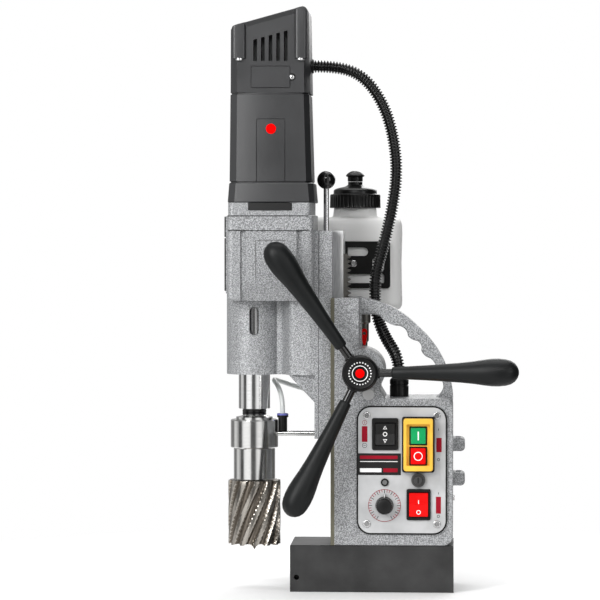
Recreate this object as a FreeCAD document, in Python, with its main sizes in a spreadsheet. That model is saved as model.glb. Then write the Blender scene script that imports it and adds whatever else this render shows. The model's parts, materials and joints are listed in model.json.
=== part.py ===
import FreeCAD, Part
import math
import os
import Sketcher
from FreeCAD import Placement, Rotation, Vector

# Magnetic drill press, in millimetres. The origin is the centre of the magnet's pole face, which rests on the
# work. +X points right for an operator who faces +Y, and +Z points up.

SIZES = {
    "magnet_length": 168, "magnet_width": 84, "magnet_height": 48,
    "coil_spacing": 80, "coil_groove_outer": 32, "coil_groove_inner": 17, "coil_groove_depth": 34,
    "strap_hole_radius": 2.75, "strap_hole_depth": 14,
    "frame_left": -38.3, "frame_right": 83.4, "guide_right": -13, "guide_top": 302,
    "box_top": 199, "handle_front": -15, "handle_back": 11,
    "feed_x": -11.1, "feed_height": 226, "boss_radius": 24,
    "channel_mouth": 21.3, "channel_floor": 26.6, "channel_floor_x": -29.6, "rack_relief_x": -22,
    "rack_relief_half": 11, "pinion_room": 16.5, "pinion_room_half": 12, "front_bush_bore": 17,
    "rear_bush_bore": 11, "feed_shaft_radius": 8,
    "gib_left": -42.2, "gib_width": 5, "gib_screw_radius": 1.5,
    "panel_left": -15.5, "panel_right": 77.4, "panel_bottom": 59.5, "panel_top": 191.8, "panel_thickness": 2,
    "panel_corner": 14.5, "panel_screw_radius": 1.5, "cavity_back": 34,
    "carriage_front": -36.5, "slide_left": -55.1, "slide_right": -40.4, "slide_bottom": 157.2,
    "slide_top": 370.8, "rail_root_half": 20, "rail_face_half": 26, "rail_face_x": -30,
    "rack_half": 10, "rack_module": 1.5, "rack_bottom": 160, "rack_top": 347,
    "pinion_teeth": 18,
    "spindle_x": -123.5, "quill_radius": 28.6, "quill_bottom": 222.4, "gearbox_wall": 2.5,
    "gearbox_left": -148.6, "gearbox_right": -59.4, "gearbox_half": 49.5, "panel_rise": 1.8,
    "gearbox_step": 299,
    "gearbox_top": 371.5, "flange_left": -59,
    "cover_top": 399.7, "motor_x": -105.5, "motor_flange_top": 420.4, "motor_top": 512.6,
    "motor_left": -146.7, "motor_right": -62.1, "motor_half": 46, "cap_top": 601,
    "cap_left": -146, "cap_right": -63.7, "shell_wall": 3,
    "layshaft_x": -103.37, "layshaft_y": 23.9,
    "arbor_radius": 21.5, "arbor_bottom": 113.2, "arbor_top": 144.5, "coolant_ring_radius": 24.65,
    "coolant_ring_bottom": 145.6, "coolant_ring_top": 174.7,
    "cutter_radius": 27.2, "cutter_bore": 21, "cutter_bottom": 45, "cutter_top": 112, "cutter_teeth": 12,
    "pilot_radius": 2, "pilot_bottom": 38.6,
    "bottle_left": -70, "bottle_right": 28.7, "bottle_front": 51.5, "bottle_back": 112,
    "bottle_bottom": 287.6, "bottle_shoulder": 385.2, "bottle_neck_x": -21.3, "bottle_wall": 1.6,
    "conduit_radius": 6.2, "hose_radius": 2.5,
    "spoke_radius": 4.2, "spoke_tilt": 8,
    "running_gap": 0.05,
}

doc = FreeCAD.newDocument("MagneticDrillPress")
sheet = doc.addObject("Spreadsheet::Sheet", "dims")
for row, (alias, number) in enumerate(SIZES.items(), start=1):
    sheet.set(f"A{row}", alias)
    sheet.set(f"B{row}", str(number))
    sheet.setAlias(f"B{row}", alias)
doc.recompute()


class Size:
    """A length from the sheet or worked out from it, with the formula that the model is bound to."""

    def __init__(self, value, formula):
        self.value = float(value)
        self.formula = formula

    def __float__(self):
        return self.value

    def __neg__(self):
        return Size(-self.value, f"(-1 * {self.formula})")

    def __add__(self, other):
        other = as_size(other)
        return Size(self.value + other.value, f"({self.formula} + {other.formula})")

    def __sub__(self, other):
        other = as_size(other)
        return Size(self.value - other.value, f"({self.formula} - {other.formula})")

    def __mul__(self, other):
        other = as_size(other)
        return Size(self.value * other.value, f"({self.formula} * {other.formula})")

    def __truediv__(self, other):
        other = as_size(other)
        return Size(self.value / other.value, f"({self.formula} / {other.formula})")

    def __rsub__(self, other):
        return as_size(other) - self

    __radd__ = __add__
    __rmul__ = __mul__


def as_size(number):
    """The same number as a Size, so that plain numbers and sheet values mix."""
    return number if isinstance(number, Size) else Size(number, f"({float(number)})")


def dim(alias):
    """One value of the sheet."""
    return Size(sheet.get(alias), f"dims.{alias}")


SUBPARTS = []
PLANES = {"XY": "XY_Plane", "XZ": "XZ_Plane", "YZ": "YZ_Plane"}


# ---- Sketch outlines: each returns a function that draws into a sketch ----

def pin(sketch, kind, geometry, point, size):
    """Holds one coordinate of a sketch point to its formula."""
    index = sketch.addConstraint(Sketcher.Constraint(kind, -1, 1, geometry, point, float(size)))
    sketch.setExpression(f"Constraints[{index}]", as_size(size).formula)


def polygon(*points):
    """A closed straight-sided outline with every corner held by two formulas."""
    def draw(sketch):
        corners = [Vector(float(u), float(v), 0) for u, v in points]
        first = sketch.GeometryCount
        for here, there in zip(corners, corners[1:] + corners[:1]):
            sketch.addGeometry(Part.LineSegment(here, there))
        for index, (u, v) in enumerate(points):
            before = first + (index - 1) % len(points)
            sketch.addConstraint(Sketcher.Constraint("Coincident", before, 2, first + index, 1))
            pin(sketch, "DistanceX", first + index, 1, u)
            pin(sketch, "DistanceY", first + index, 1, v)
    return draw


def rect(left, right, low, high):
    """A rectangle between two stations each way."""
    return polygon((left, low), (right, low), (right, high), (left, high))


def circle(u, v, radius):
    """A circle held by its centre and radius."""
    def draw(sketch):
        shape = Part.Circle(Vector(float(u), float(v), 0), Vector(0, 0, 1), float(radius))
        index = sketch.addGeometry(shape)
        pin(sketch, "DistanceX", index, 3, u)
        pin(sketch, "DistanceY", index, 3, v)
        constraint = sketch.addConstraint(Sketcher.Constraint("Radius", index, float(radius)))
        sketch.setExpression(f"Constraints[{constraint}]", as_size(radius).formula)
    return draw


def arc_through(start, via, end):
    """The sketch arc from start through via to end."""
    ring = Part.Arc(start, via, end).toShape().Curve
    angles = [math.atan2(p.y - ring.Center.y, p.x - ring.Center.x) for p in (start, via, end)]
    turn = (via - start).cross(end - via).z
    first, last = (angles[0], angles[2]) if turn > 0 else (angles[2], angles[0])
    if last < first:
        last += 2 * math.pi
    return Part.ArcOfCircle(Part.Circle(ring.Center, Vector(0, 0, 1), ring.Radius), first, last)


def outline(start, *steps):
    """A closed outline of lines, given as (u, v), and arcs, given as ((via), (end))."""
    def draw(sketch):
        here = Vector(float(start[0]), float(start[1]), 0)
        home = here
        for step in steps:
            if isinstance(step[0], tuple):
                via = Vector(float(step[0][0]), float(step[0][1]), 0)
                there = Vector(float(step[1][0]), float(step[1][1]), 0)
                sketch.addGeometry(arc_through(here, via, there))
            else:
                there = Vector(float(step[0]), float(step[1]), 0)
                sketch.addGeometry(Part.LineSegment(here, there))
            here = there
        if (here - home).Length > 1e-6:
            sketch.addGeometry(Part.LineSegment(here, home))
    return draw


def rounded(left, right, low, high, radius):
    """A rectangle with round corners."""
    left, right, low, high, radius = (float(n) for n in (left, right, low, high, radius))
    bend = radius * (1 - math.sqrt(0.5))
    return outline(
        (left + radius, low), (right - radius, low),
        ((right - bend, low + bend), (right, low + radius)), (right, high - radius),
        ((right - bend, high - bend), (right - radius, high)), (left + radius, high),
        ((left + bend, high - bend), (left, high - radius)), (left, low + radius),
        ((left + bend, low + bend), (left + radius, low)))


# ---- Solid features ----

def new_body(label):
    """An empty sub-part."""
    body = doc.addObject("PartDesign::Body", label)
    body.Label = label
    body.AllowCompound = True
    SUBPARTS.append(body)
    return body


def sketch_at(body, plane, station, shapes):
    """A sketch on the body's own plane, moved to a station along that plane's axis."""
    sketch = body.newObject("Sketcher::SketchObject", f"{body.Name}_outline")
    base = next(f for f in body.Origin.OriginFeatures if f.Role == PLANES[plane])
    sketch.AttachmentSupport = (base, [""])
    sketch.MapMode = "FlatFace"
    shift = -as_size(station) if plane == "XZ" else as_size(station)
    sketch.setExpression("AttachmentOffset.Base.z", shift.formula)
    for shape in shapes:
        shape(sketch)
    return sketch


def pad(body, plane, low, high, *shapes):
    """Adds material between two stations along the plane's axis."""
    start = high if plane == "XZ" else low
    feature = body.newObject("PartDesign::Pad", f"{body.Name}_pad")
    feature.Profile = sketch_at(body, plane, start, shapes)
    feature.setExpression("Length", (as_size(high) - low).formula)
    body.Tip = feature
    return feature


def pocket(body, plane, low, high, *shapes):
    """Removes material between two stations, and makes sure that some was there."""
    doc.recompute()
    before = body.Shape.Volume
    start = low if plane == "XZ" else high
    feature = body.newObject("PartDesign::Pocket", f"{body.Name}_pocket")
    feature.Profile = sketch_at(body, plane, start, shapes)
    feature.setExpression("Length", (as_size(high) - low).formula)
    body.Tip = feature
    doc.recompute()
    if not body.Shape.Volume < before - 1e-6:
        raise RuntimeError(f"a pocket of {body.Label} cuts nothing")
    return feature


def turn(body, axis, *profiles):
    """Adds a solid of revolution about the body's own axis, from (radius, station) outlines."""
    plane = "XZ" if axis == "Z" else "XY"
    feature = body.newObject("PartDesign::Revolution", f"{body.Name}_turned")
    if axis == "X":
        profiles = [[(station, radius) for radius, station in profile] for profile in profiles]
    sketch = sketch_at(body, plane, 0, [polygon(*profile) for profile in profiles])
    feature.Profile = sketch
    feature.ReferenceAxis = (sketch, ["H_Axis" if axis == "X" else "V_Axis"])
    feature.Angle = 360
    body.Tip = feature
    return feature


def turned(label, axis, place, *profiles):
    """A round sub-part about an axis through a place."""
    body = new_body(label)
    turn(body, axis, *profiles)
    put(body, place)
    return body


def put(body, place):
    """Places a sub-part by formulas."""
    for letter, size in zip("xyz", place):
        body.setExpression(f"Placement.Base.{letter}", as_size(size).formula)


def edges_where(body, wanted):
    """The names of the body's edges for which wanted(first end, last end, edge) is true."""
    doc.recompute()
    names = []
    for index, edge in enumerate(body.Shape.Edges, start=1):
        ends = [vertex.Point for vertex in edge.Vertexes]
        if wanted(ends[0], ends[-1], edge):
            names.append(f"Edge{index}")
    return names


def soften(body, kind, size, wanted):
    """Rounds (Fillet) or bevels (Chamfer) the chosen edges of a body."""
    names = edges_where(body, wanted)
    base = body.Tip
    feature = body.newObject(f"PartDesign::{kind}", f"{body.Name}_{kind.lower()}")
    feature.Base = (base, names)
    if kind == "Fillet":
        feature.setExpression("Radius", as_size(size).formula)
    else:
        feature.setExpression("Size", as_size(size).formula)
    body.Tip = feature
    doc.recompute()
    return feature


def free_shape(label, shape, place=(0, 0, 0), rotation=None):
    """A sub-part whose shape comes from Part's own functions."""
    feature = doc.addObject("Part::Feature", label)
    feature.Label = label
    feature.Shape = shape
    feature.Placement = Placement(Vector(*(float(n) for n in place)), rotation or Rotation())
    SUBPARTS.append(feature)
    return feature


def round_bar(start, direction, radius, length):
    """A plain cylinder solid."""
    return Part.makeCylinder(float(radius), float(length), start, direction)


# ---- Magnet ----

def make_magnet():
    half_length = dim("magnet_length") / 2
    half_width = dim("magnet_width") / 2
    body = new_body("magnet_body")
    pad(body, "XY", 0, dim("magnet_height"), rect(-half_length, half_length, -half_width, half_width))
    soften(body, "Chamfer", 0.8, lambda a, b, e: min(a.z, b.z) > 1)
    for side in (-1, 1):
        centre = dim("coil_spacing") / 2 * side
        pocket(body, "XY", 0, dim("coil_groove_depth"),
               circle(centre, 0, dim("coil_groove_outer")), circle(centre, 0, dim("coil_groove_inner")))
    front = -half_width
    hole = circle(-half_length + 6.7, 14.9, dim("strap_hole_radius"))
    pocket(body, "XZ", front, front + dim("strap_hole_depth"), hole)

    coils = new_body("magnet_coils")
    gap = 0.4
    for side in (-1, 1):
        centre = dim("coil_spacing") / 2 * side
        pad(coils, "XY", 3, dim("coil_groove_depth") - 1,
            circle(centre, 0, dim("coil_groove_outer") - gap), circle(centre, 0, dim("coil_groove_inner") + gap))


# ---- Frame casting ----

PANEL_SCREWS = [(x, z) for x in (-4.9, 66.8) for z in (70.8, 181.9)]
GIB_SCREW_HEIGHTS = [70, 120, 170, 220, 270]
CONDUIT_HOLE = (27.3, 2)
MAINS_INLET = (58, 76)
HOLE_PLUG = (-3.3, 203.3)
LUG_BOTTOMS = (107.8, 143.4)
LUG_HEIGHT = 13.6


def make_frame():
    left, right = dim("frame_left"), dim("frame_right")
    half = dim("magnet_width") / 2
    base, top = dim("magnet_height"), dim("guide_top")
    guide, box_top = dim("guide_right"), dim("box_top")
    feed_x, feed_z = dim("feed_x"), dim("feed_height")

    body = new_body("frame_casting")
    pad(body, "XZ", -half, half, outline(
        (left, base), (right - 10.1, base), ((right - 3, base + 3), (right, base + 9.4)),
        (right, box_top - 9), ((right - 3.5, box_top - 2.6), (right - 13, box_top)),
        (13.5, box_top), (8, 208.4), (8, 226), (guide, 240), (guide, top), (left, top)))
    soften(body, "Fillet", 1.4, lambda a, b, e: abs(a.y - b.y) < 0.01 and abs(abs(a.y) - float(half)) < 0.01
           and min(a.x, b.x) > float(left) + 0.5 and max(a.z, b.z) > 60)
    pad(body, "XZ", -half, half, circle(feed_x, feed_z, dim("boss_radius")))
    handle = outline(
        (guide - 1.2, top), ((24.8, 289.6), (45.9, 272.8)), ((70.5, 243), (right, box_top)),
        (right - 2, box_top - 20), (guide - 1.2, box_top - 20))
    window = outline(
        (-11.7, 284.4), (-1.5, 284.4), ((4.5, 283.6), (9, 281.8)), ((17.5, 275), (24.8, 272.8)),
        ((33.5, 269.5), (36.5, 262.3)), ((40.6, 258.9), (45.9, 257.3)), ((49.6, 254), (50.3, 247.5)),
        ((53.9, 242.2), (59.6, 239.3)), ((63.4, 235.5), (66, 228)), (72.4, 214.5),
        ((72.4, 206.4), (65.9, box_top)), (13.5, box_top), (8, 208.4), (5, 226), (-11.7, 240))
    pad(body, "XZ", dim("handle_front"), dim("handle_back"), handle, window)
    soften(body, "Fillet", 2.2, lambda a, b, e: e.Curve.TypeId == "Part::GeomCircle"
           and abs(a.y - b.y) < 0.01 and min(a.x, b.x) > -13 and min(a.z, b.z) > 200
           and max(a.z, b.z) < 303 and e.Length > 8 and abs(e.Curve.Radius - 24) > 0.5
           and min(abs(a.y - float(dim("handle_front"))), abs(a.y - float(dim("handle_back")))) < 0.01)

    for bottom in LUG_BOTTOMS:
        pad(body, "XZ", -15, 15, rounded(right - 6, right + 12.2, bottom, bottom + LUG_HEIGHT, 4.5))
    for bottom in LUG_BOTTOMS:
        pocket(body, "XY", bottom, bottom + LUG_HEIGHT, rounded(right + 2.6, right + 8.2, -9, 9, 2.5))

    pocket(body, "XZ", -half, dim("cavity_back"), rect(-8, 74, 67, 186))
    pad(body, "XZ", -half, -half + 30, *[circle(x, z, 6) for x, z in PANEL_SCREWS])
    pocket(body, "XZ", -half, -half + 16,
           *[circle(x, z, dim("panel_screw_radius") + 0.1) for x, z in PANEL_SCREWS])

    mouth, floor = dim("channel_mouth"), dim("channel_floor")
    floor_x, relief, relief_x = dim("channel_floor_x"), dim("rack_relief_half"), dim("rack_relief_x")
    pocket(body, "XY", base, top + 1, polygon(
        (left - 0.5, -mouth), (floor_x, -floor), (floor_x, -relief), (relief_x, -relief),
        (relief_x, relief), (floor_x, relief), (floor_x, floor), (left - 0.5, mouth)))
    room = dim("pinion_room_half")
    pocket(body, "XZ", -room, room, circle(feed_x, feed_z, dim("pinion_room")))
    pocket(body, "XZ", -half - 1, -room, circle(feed_x, feed_z, dim("front_bush_bore")))
    pocket(body, "XZ", room, half + 1, circle(feed_x, feed_z, dim("rear_bush_bore")))
    pocket(body, "XY", 180, box_top + 1, circle(CONDUIT_HOLE[0], CONDUIT_HOLE[1], 6))
    pocket(body, "XZ", dim("cavity_back") - 1, half + 1, circle(MAINS_INLET[0], MAINS_INLET[1], 6.1))
    pocket(body, "XZ", -half - 1, -half + 3, circle(HOLE_PLUG[0], HOLE_PLUG[1], 6.1))
    gib_centre = half - dim("gib_width") / 2
    holes = [circle(gib_centre * side, z, dim("gib_screw_radius") + 0.05)
             for side in (-1, 1) for z in GIB_SCREW_HEIGHTS]
    pocket(body, "YZ", left - 1, left + 8.3, *holes)
    pocket(body, "YZ", right - 8, right + 1, circle(-24, 96, 1.55))


make_magnet()
make_frame()


# ---- Guide strips, bushes and small frame pieces ----

def make_gibs():
    half, width = dim("magnet_width") / 2, dim("gib_width")
    left, right = dim("gib_left"), dim("frame_left")
    strips = new_body("gib_strips")
    for side in (-1, 1):
        near, far = sorted([half * side, (half - width) * side], key=float)
        pad(strips, "XY", dim("magnet_height"), dim("guide_top"), rect(left, right, near, far))
    centre = half - width / 2
    spots = [(centre * side, z) for side in (-1, 1) for z in GIB_SCREW_HEIGHTS]
    pocket(strips, "YZ", left, right, *[circle(y, z, dim("gib_screw_radius") + 0.05) for y, z in spots])

    screws = new_body("frame_screws")
    pad(screws, "YZ", left, right + 8, *[circle(y, z, dim("gib_screw_radius")) for y, z in spots])
    side_face = dim("frame_right")
    pad(screws, "YZ", side_face - 7, side_face + 0.01, circle(-24, 96, 1.5))
    pad(screws, "YZ", side_face, side_face + 1.6, circle(-24, 96, 2.8))


def make_bushes():
    half, room = dim("magnet_width") / 2, dim("pinion_room_half")
    gap, shaft = dim("running_gap"), dim("feed_shaft_radius")
    front_outer = dim("front_bush_bore") - 0.02
    rear_outer = dim("rear_bush_bore") - 0.02
    place = (dim("feed_x"), 0, dim("feed_height"))
    turned("feed_bushes", "Y", place,
           [(shaft + gap, -half - 1.5), (front_outer + 0.7, -half - 1.5), (front_outer + 0.7, -half),
            (front_outer, -half), (front_outer, -room), (shaft + gap, -room)],
           [(shaft + gap, room), (rear_outer, room), (rear_outer, half), (shaft + gap, half)])


def make_frame_trim():
    half = dim("magnet_width") / 2
    turned("hole_plug", "Y", (HOLE_PLUG[0], 0, HOLE_PLUG[1]),
           [(0, -half - 0.8), (5.4, -half - 0.8), (6, -half - 0.2), (6, -half + 3), (0, -half + 3)])
    top = dim("box_top")
    turned("conduit_gland_lower", "Z", (CONDUIT_HOLE[0], CONDUIT_HOLE[1], 0),
           [(4, top - 12), (5.9, top - 12), (5.9, top), (9.8, top), (9.8, top + 11), (9.3, top + 11.4),
            (9.3, top + 12.4), (9.8, top + 12.8), (9.8, top + 17), (8.2, top + 19), (4, top + 19)])
    back = half
    turned("mains_gland", "Y", (MAINS_INLET[0], 0, MAINS_INLET[1]),
           [(3.6, back - 8), (6, back - 8), (6, back), (10, back), (10, back + 8), (8, back + 10),
            (5.6, back + 26), (3.6, back + 26)])


# ---- Control panel ----

DIRECTION_SWITCH = (13.8, 162.8)
STATION = (47.8, 152.3)
MAGNET_SWITCH = (48.1, 90.6)
FUSE = (47.8, 115.7)
INDICATOR = (13.5, 113.2)
DIAL = (13.2, 89.5)
START_HEIGHT, STOP_HEIGHT = 161.4, 140.8


def around(centre, width, height):
    """The four sides of a rectangle of the panel's face."""
    x, z = centre
    return x - width / 2, x + width / 2, z - height / 2, z + height / 2


def make_panel():
    back = -dim("magnet_width") / 2
    face = back - dim("panel_thickness")
    plate = new_body("panel_plate")
    pad(plate, "XZ", face, back, rounded(dim("panel_left"), dim("panel_right"), dim("panel_bottom"),
                                         dim("panel_top"), dim("panel_corner")))
    pocket(plate, "XZ", face, back,
           *[circle(x, z, dim("panel_screw_radius") + 0.1) for x, z in PANEL_SCREWS],
           circle(*FUSE, 6.1), circle(*INDICATOR, 3.1), circle(*DIAL, 4.1),
           rect(*around(DIRECTION_SWITCH, 23, 28)), rect(*around(MAGNET_SWITCH, 22.6, 28.8)),
           rect(*around(STATION, 26, 48)))

    screws = new_body("panel_screws")
    for x, z in PANEL_SCREWS:
        pad(screws, "XZ", face, face + 14, circle(x, z, dim("panel_screw_radius")))
        pad(screws, "XZ", face - 1.9, face, circle(x, z, 3.9))
    soften(screws, "Fillet", 1.2, lambda a, b, e: abs(a.y - float(face) + 1.9) < 0.01)
    for x, z in PANEL_SCREWS:
        pocket(screws, "XZ", face - 2, face - 0.7, rect(x - 2, x + 2, z - 0.4, z + 0.4))
        pocket(screws, "XZ", face - 2, face - 0.7, rect(x - 0.4, x + 0.4, z - 2, z + 2))

    make_switch_frames(face)
    make_rocker("direction_rocker", DIRECTION_SWITCH, 19.8, 21.8, face)
    make_rocker("magnet_rocker", MAGNET_SWITCH, 19.2, 24, face)

    station = new_body("start_stop_station")
    pad(station, "XZ", face - 5, face, rounded(*around(STATION, 32, 55.6), 2))
    pad(station, "XZ", face - 11, face - 5, rounded(*around(STATION, 30.1, 53.8), 3))
    soften(station, "Fillet", 1, lambda a, b, e: abs(a.y - float(face) + 11) < 0.01
           and abs(b.y - a.y) < 0.01)
    pocket(station, "XZ", face - 12, face - 6, rounded(*around(STATION, 24, 42.6), 1.5))
    pad(station, "XZ", face, face + 22, rect(*around(STATION, 25.8, 47.8)))
    holes = [rect(*around((STATION[0], z), 16.2, 17.4)) for z in (START_HEIGHT, STOP_HEIGHT)]
    pocket(station, "XZ", face - 6, face + 12, *holes)
    for label, height, rise in (("start_button", START_HEIGHT, 8.2), ("stop_button", STOP_HEIGHT, 10)):
        button = new_body(label)
        pad(button, "XZ", face - rise, face + 8, rounded(*around((STATION[0], height), 15.3, 16.4), 1.2))
        soften(button, "Fillet", 0.7, lambda a, b, e: max(a.y, b.y) < float(face) - 8)

    turned("fuse_holder", "Y", (FUSE[0], face, FUSE[1]),
           [(4.6, -3), (7.2, -3), (7.2, 0), (6, 0), (6, 24), (4.6, 24)])
    cap = turned("fuse_cap", "Y", (FUSE[0], face, FUSE[1]),
                 [(0, -5.6), (4, -5.6), (4.4, -5.2), (4.4, 18), (0, 18)])
    pocket(cap, "XZ", -6, -4.2, rect(-0.6, 0.6, -3, 3))
    turned("magnet_indicator", "Y", (INDICATOR[0], face, INDICATOR[1]),
           [(0, -2.6), (2.2, -2.4), (2.6, -1.4), (4.05, -1.4), (4.05, 0), (3, 0), (3, 12), (0, 12)])
    turned("speed_dial_plate", "Y", (DIAL[0], face, DIAL[1]),
           [(3.4, -0.8), (16.75, -0.8), (16.75, 0), (4, 0), (4, 15), (3.4, 15)])
    knob = turned("speed_knob", "Y", (DIAL[0], face, DIAL[1]),
                  [(0, -14), (7.9, -14), (8.5, -13.2), (9.15, -1.2), (3, -1.2), (3, 12), (0, 12)])
    pocket(knob, "XZ", -15, -13.2, rect(-0.6, 0.6, 2, 9))
    soften(knob, "Fillet", 0.5, lambda a, b, e: e.Curve.TypeId == "Part::GeomCircle" and a.y < -13.5)

    board = new_body("control_board")
    pad(board, "XZ", 10, 11.6, rect(-2, 70, 78, 178))
    for x, z, width, height, depth in ((20, 150, 22, 16, 18), (52, 110, 14, 22, 14), (20, 100, 12, 12, 20)):
        pad(board, "XZ", 10 - depth, 10, rect(*around((x, z), width, height)))
    for x in (4, 64):
        pad(board, "XZ", 11.6, dim("cavity_back"), circle(x, 84, 3), circle(x, 172, 3))


def make_switch_frames(face):
    """The bezels and boxes of the two rocker switches: centre, bezel size, rocker hole size."""
    frames = [(DIRECTION_SWITCH, (27, 33), (21.2, 23.6)), (MAGNET_SWITCH, (24.8, 32), (20.6, 25.8))]
    body = new_body("switch_frames")
    pad(body, "XZ", face - 2.4, face, *[rounded(*around(centre, *bezel), 2) for centre, bezel, _ in frames])
    soften(body, "Fillet", 0.8, lambda a, b, e: max(a.y, b.y) < float(face) - 2.3)
    for centre, _, (width, height) in frames:
        pad(body, "XZ", face, face + 24, rect(*around(centre, width + 1.6, height + 2.4)))
        pocket(body, "XZ", face - 3, face + 14, rect(*around(centre, width, height)))


def make_rocker(label, centre, width, height, face):
    """A rocker whose two lands slope down to the middle, on a hinge across the switch."""
    body = new_body(label)
    x, z = centre
    front, crown = face - 3.6, face - 2.2
    pad(body, "YZ", x - width / 2, x + width / 2, polygon(
        (front - 1.2, z - height / 2), (crown, z), (front - 1.2, z + height / 2),
        (face + 2.5, z + height / 2), (face + 9, z + 4), (face + 9, z - 4), (face + 2.5, z - height / 2)))


make_gibs()
make_bushes()
make_frame_trim()
make_panel()


# ---- Gears and cords ----

PRESSURE = math.radians(25)
FLANK_STEPS = 5


def involute(angle):
    return math.tan(angle) - angle


def gear(module, teeth, phase, low, high, centre, addendum=0.8, backlash=0.14):
    """A spur gear solid with involute flanks, one tooth centred on the phase angle."""
    pitch = module * teeth / 2
    base = pitch * math.cos(PRESSURE)
    tip = pitch + addendum * module
    root = pitch - 1.2 * module
    half_tooth = math.pi / (2 * teeth) - backlash / (2 * pitch) + involute(PRESSURE)
    start = max(root, base)
    radii = [start + (tip - start) * step / FLANK_STEPS for step in range(FLANK_STEPS + 1)]
    flank = [(radius, half_tooth - involute(math.acos(min(1.0, base / radius)))) for radius in radii]
    if root < base:
        flank.insert(0, (root, flank[0][1]))
    corners = []
    for tooth in range(teeth):
        middle = phase + 2 * math.pi * tooth / teeth
        sides = [(radius, middle - angle) for radius, angle in flank]
        sides += [(radius, middle + angle) for radius, angle in reversed(flank)]
        corners += [Vector(r * math.cos(a), r * math.sin(a), 0) for r, a in sides]
    face = Part.Face(Part.makePolygon(corners + corners[:1]))
    solid = face.extrude(Vector(0, 0, high - low))
    solid.translate(Vector(float(centre[0]), float(centre[1]), low))
    return solid


def lathe(profile, centre=(0, 0)):
    """A solid of revolution about a vertical axis, from (radius, height) corners."""
    corners = [Vector(float(r), 0, float(z)) for r, z in profile]
    solid = Part.Face(Part.makePolygon(corners + corners[:1])).revolve(Vector(), Vector(0, 0, 1), 360)
    solid.translate(Vector(float(centre[0]), float(centre[1]), 0))
    return solid


def cord_tube(route, radius):
    """A tube along straight runs joined by tangent arcs, as large as the runs allow."""
    points = [Vector(*point) for point in route]
    edges = []
    here = points[0]
    radii = []
    for before, corner, after in zip(points, points[1:], points[2:]):
        arriving, leaving = (corner - before).normalize(), (after - corner).normalize()
        half_turn = arriving.getAngle(leaving) / 2
        reach = 0.45 * min((corner - before).Length, (after - corner).Length)
        radii.append(round(reach / math.tan(half_turn), 1))
        start, end = corner - arriving * reach, corner + leaving * reach
        chord = (leaving - arriving).normalize()
        middle = corner + chord * (reach / math.sin(half_turn) - reach / math.tan(half_turn))
        edges.append(Part.LineSegment(here, start).toShape())
        edges.append(Part.Arc(start, middle, end).toShape())
        here = end
    edges.append(Part.LineSegment(here, points[-1]).toShape())
    path = Part.Wire(edges)
    section = Part.Wire(Part.Circle(points[0], points[1] - points[0], float(radius)).toShape())
    tube = path.makePipeShell([section], True, False)
    print("cord radii", radii, "length", round(path.Length, 1),
          "volume ratio", round(tube.Volume / (math.pi * float(radius) ** 2 * path.Length), 4))
    return tube


# ---- Carriage: slide, rail and rack ----

LOCK_ROD_X = -48.6


def make_slide():
    low, high = dim("slide_bottom"), dim("slide_top")
    front = dim("carriage_front")
    left, right = dim("slide_left"), dim("slide_right")
    slide = new_body("slide_plate")
    pad(slide, "XY", low, high, rect(left, right, front, -front))
    soften(slide, "Fillet", 1.5, lambda a, b, e: abs(a.x - b.x) < 0.01 and abs(a.y - b.y) < 0.01)
    soften(slide, "Chamfer", 0.6, lambda a, b, e: min(a.z, b.z) > float(high) - 0.1)
    pocket(slide, "XY", high - 40, high, circle(LOCK_ROD_X, 0, 3.1))

    rail = new_body("dovetail_rail")
    root, face = dim("rail_root_half"), dim("rail_face_half")
    pad(rail, "XY", low, high, polygon(
        (right, -root), (dim("rail_face_x"), -face), (dim("rail_face_x"), face), (right, root)))

    module = float(dim("rack_module"))
    pitch = math.pi * module
    pitch_x = float(dim("feed_x")) - module * float(dim("pinion_teeth")) / 2
    tip_x, root_x = pitch_x + module, pitch_x - 1.25 * module
    half = pitch / 4 - 0.07
    tip_half = half - module * math.tan(PRESSURE)
    root_half = half + 1.25 * module * math.tan(PRESSURE)
    first = math.ceil((float(dim("rack_bottom")) + 2.5 - float(dim("feed_height"))) / pitch)
    last = math.floor((float(dim("rack_top")) - 2.5 - float(dim("feed_height"))) / pitch)
    teeth = []
    for tooth in range(first, last + 1):
        z = float(dim("feed_height")) + tooth * pitch
        teeth += [(root_x, z - root_half), (tip_x, z - tip_half), (tip_x, z + tip_half),
                  (root_x, z + root_half)]
    rack = new_body("rack")
    back, low, high = dim("rail_face_x"), dim("rack_bottom"), dim("rack_top")
    pad(rack, "XZ", -dim("rack_half"), dim("rack_half"),
        outline((back, low), (root_x, low), *teeth, (root_x, high), (back, high)))


# ---- Carriage: gearbox ----

LAY_BEARING = 8
MOTOR_BEARING = 11
SPINDLE_LOW_BEARING = 22
SPINDLE_HIGH_BEARING = 21
SIDE_FACE = -152.15


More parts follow.
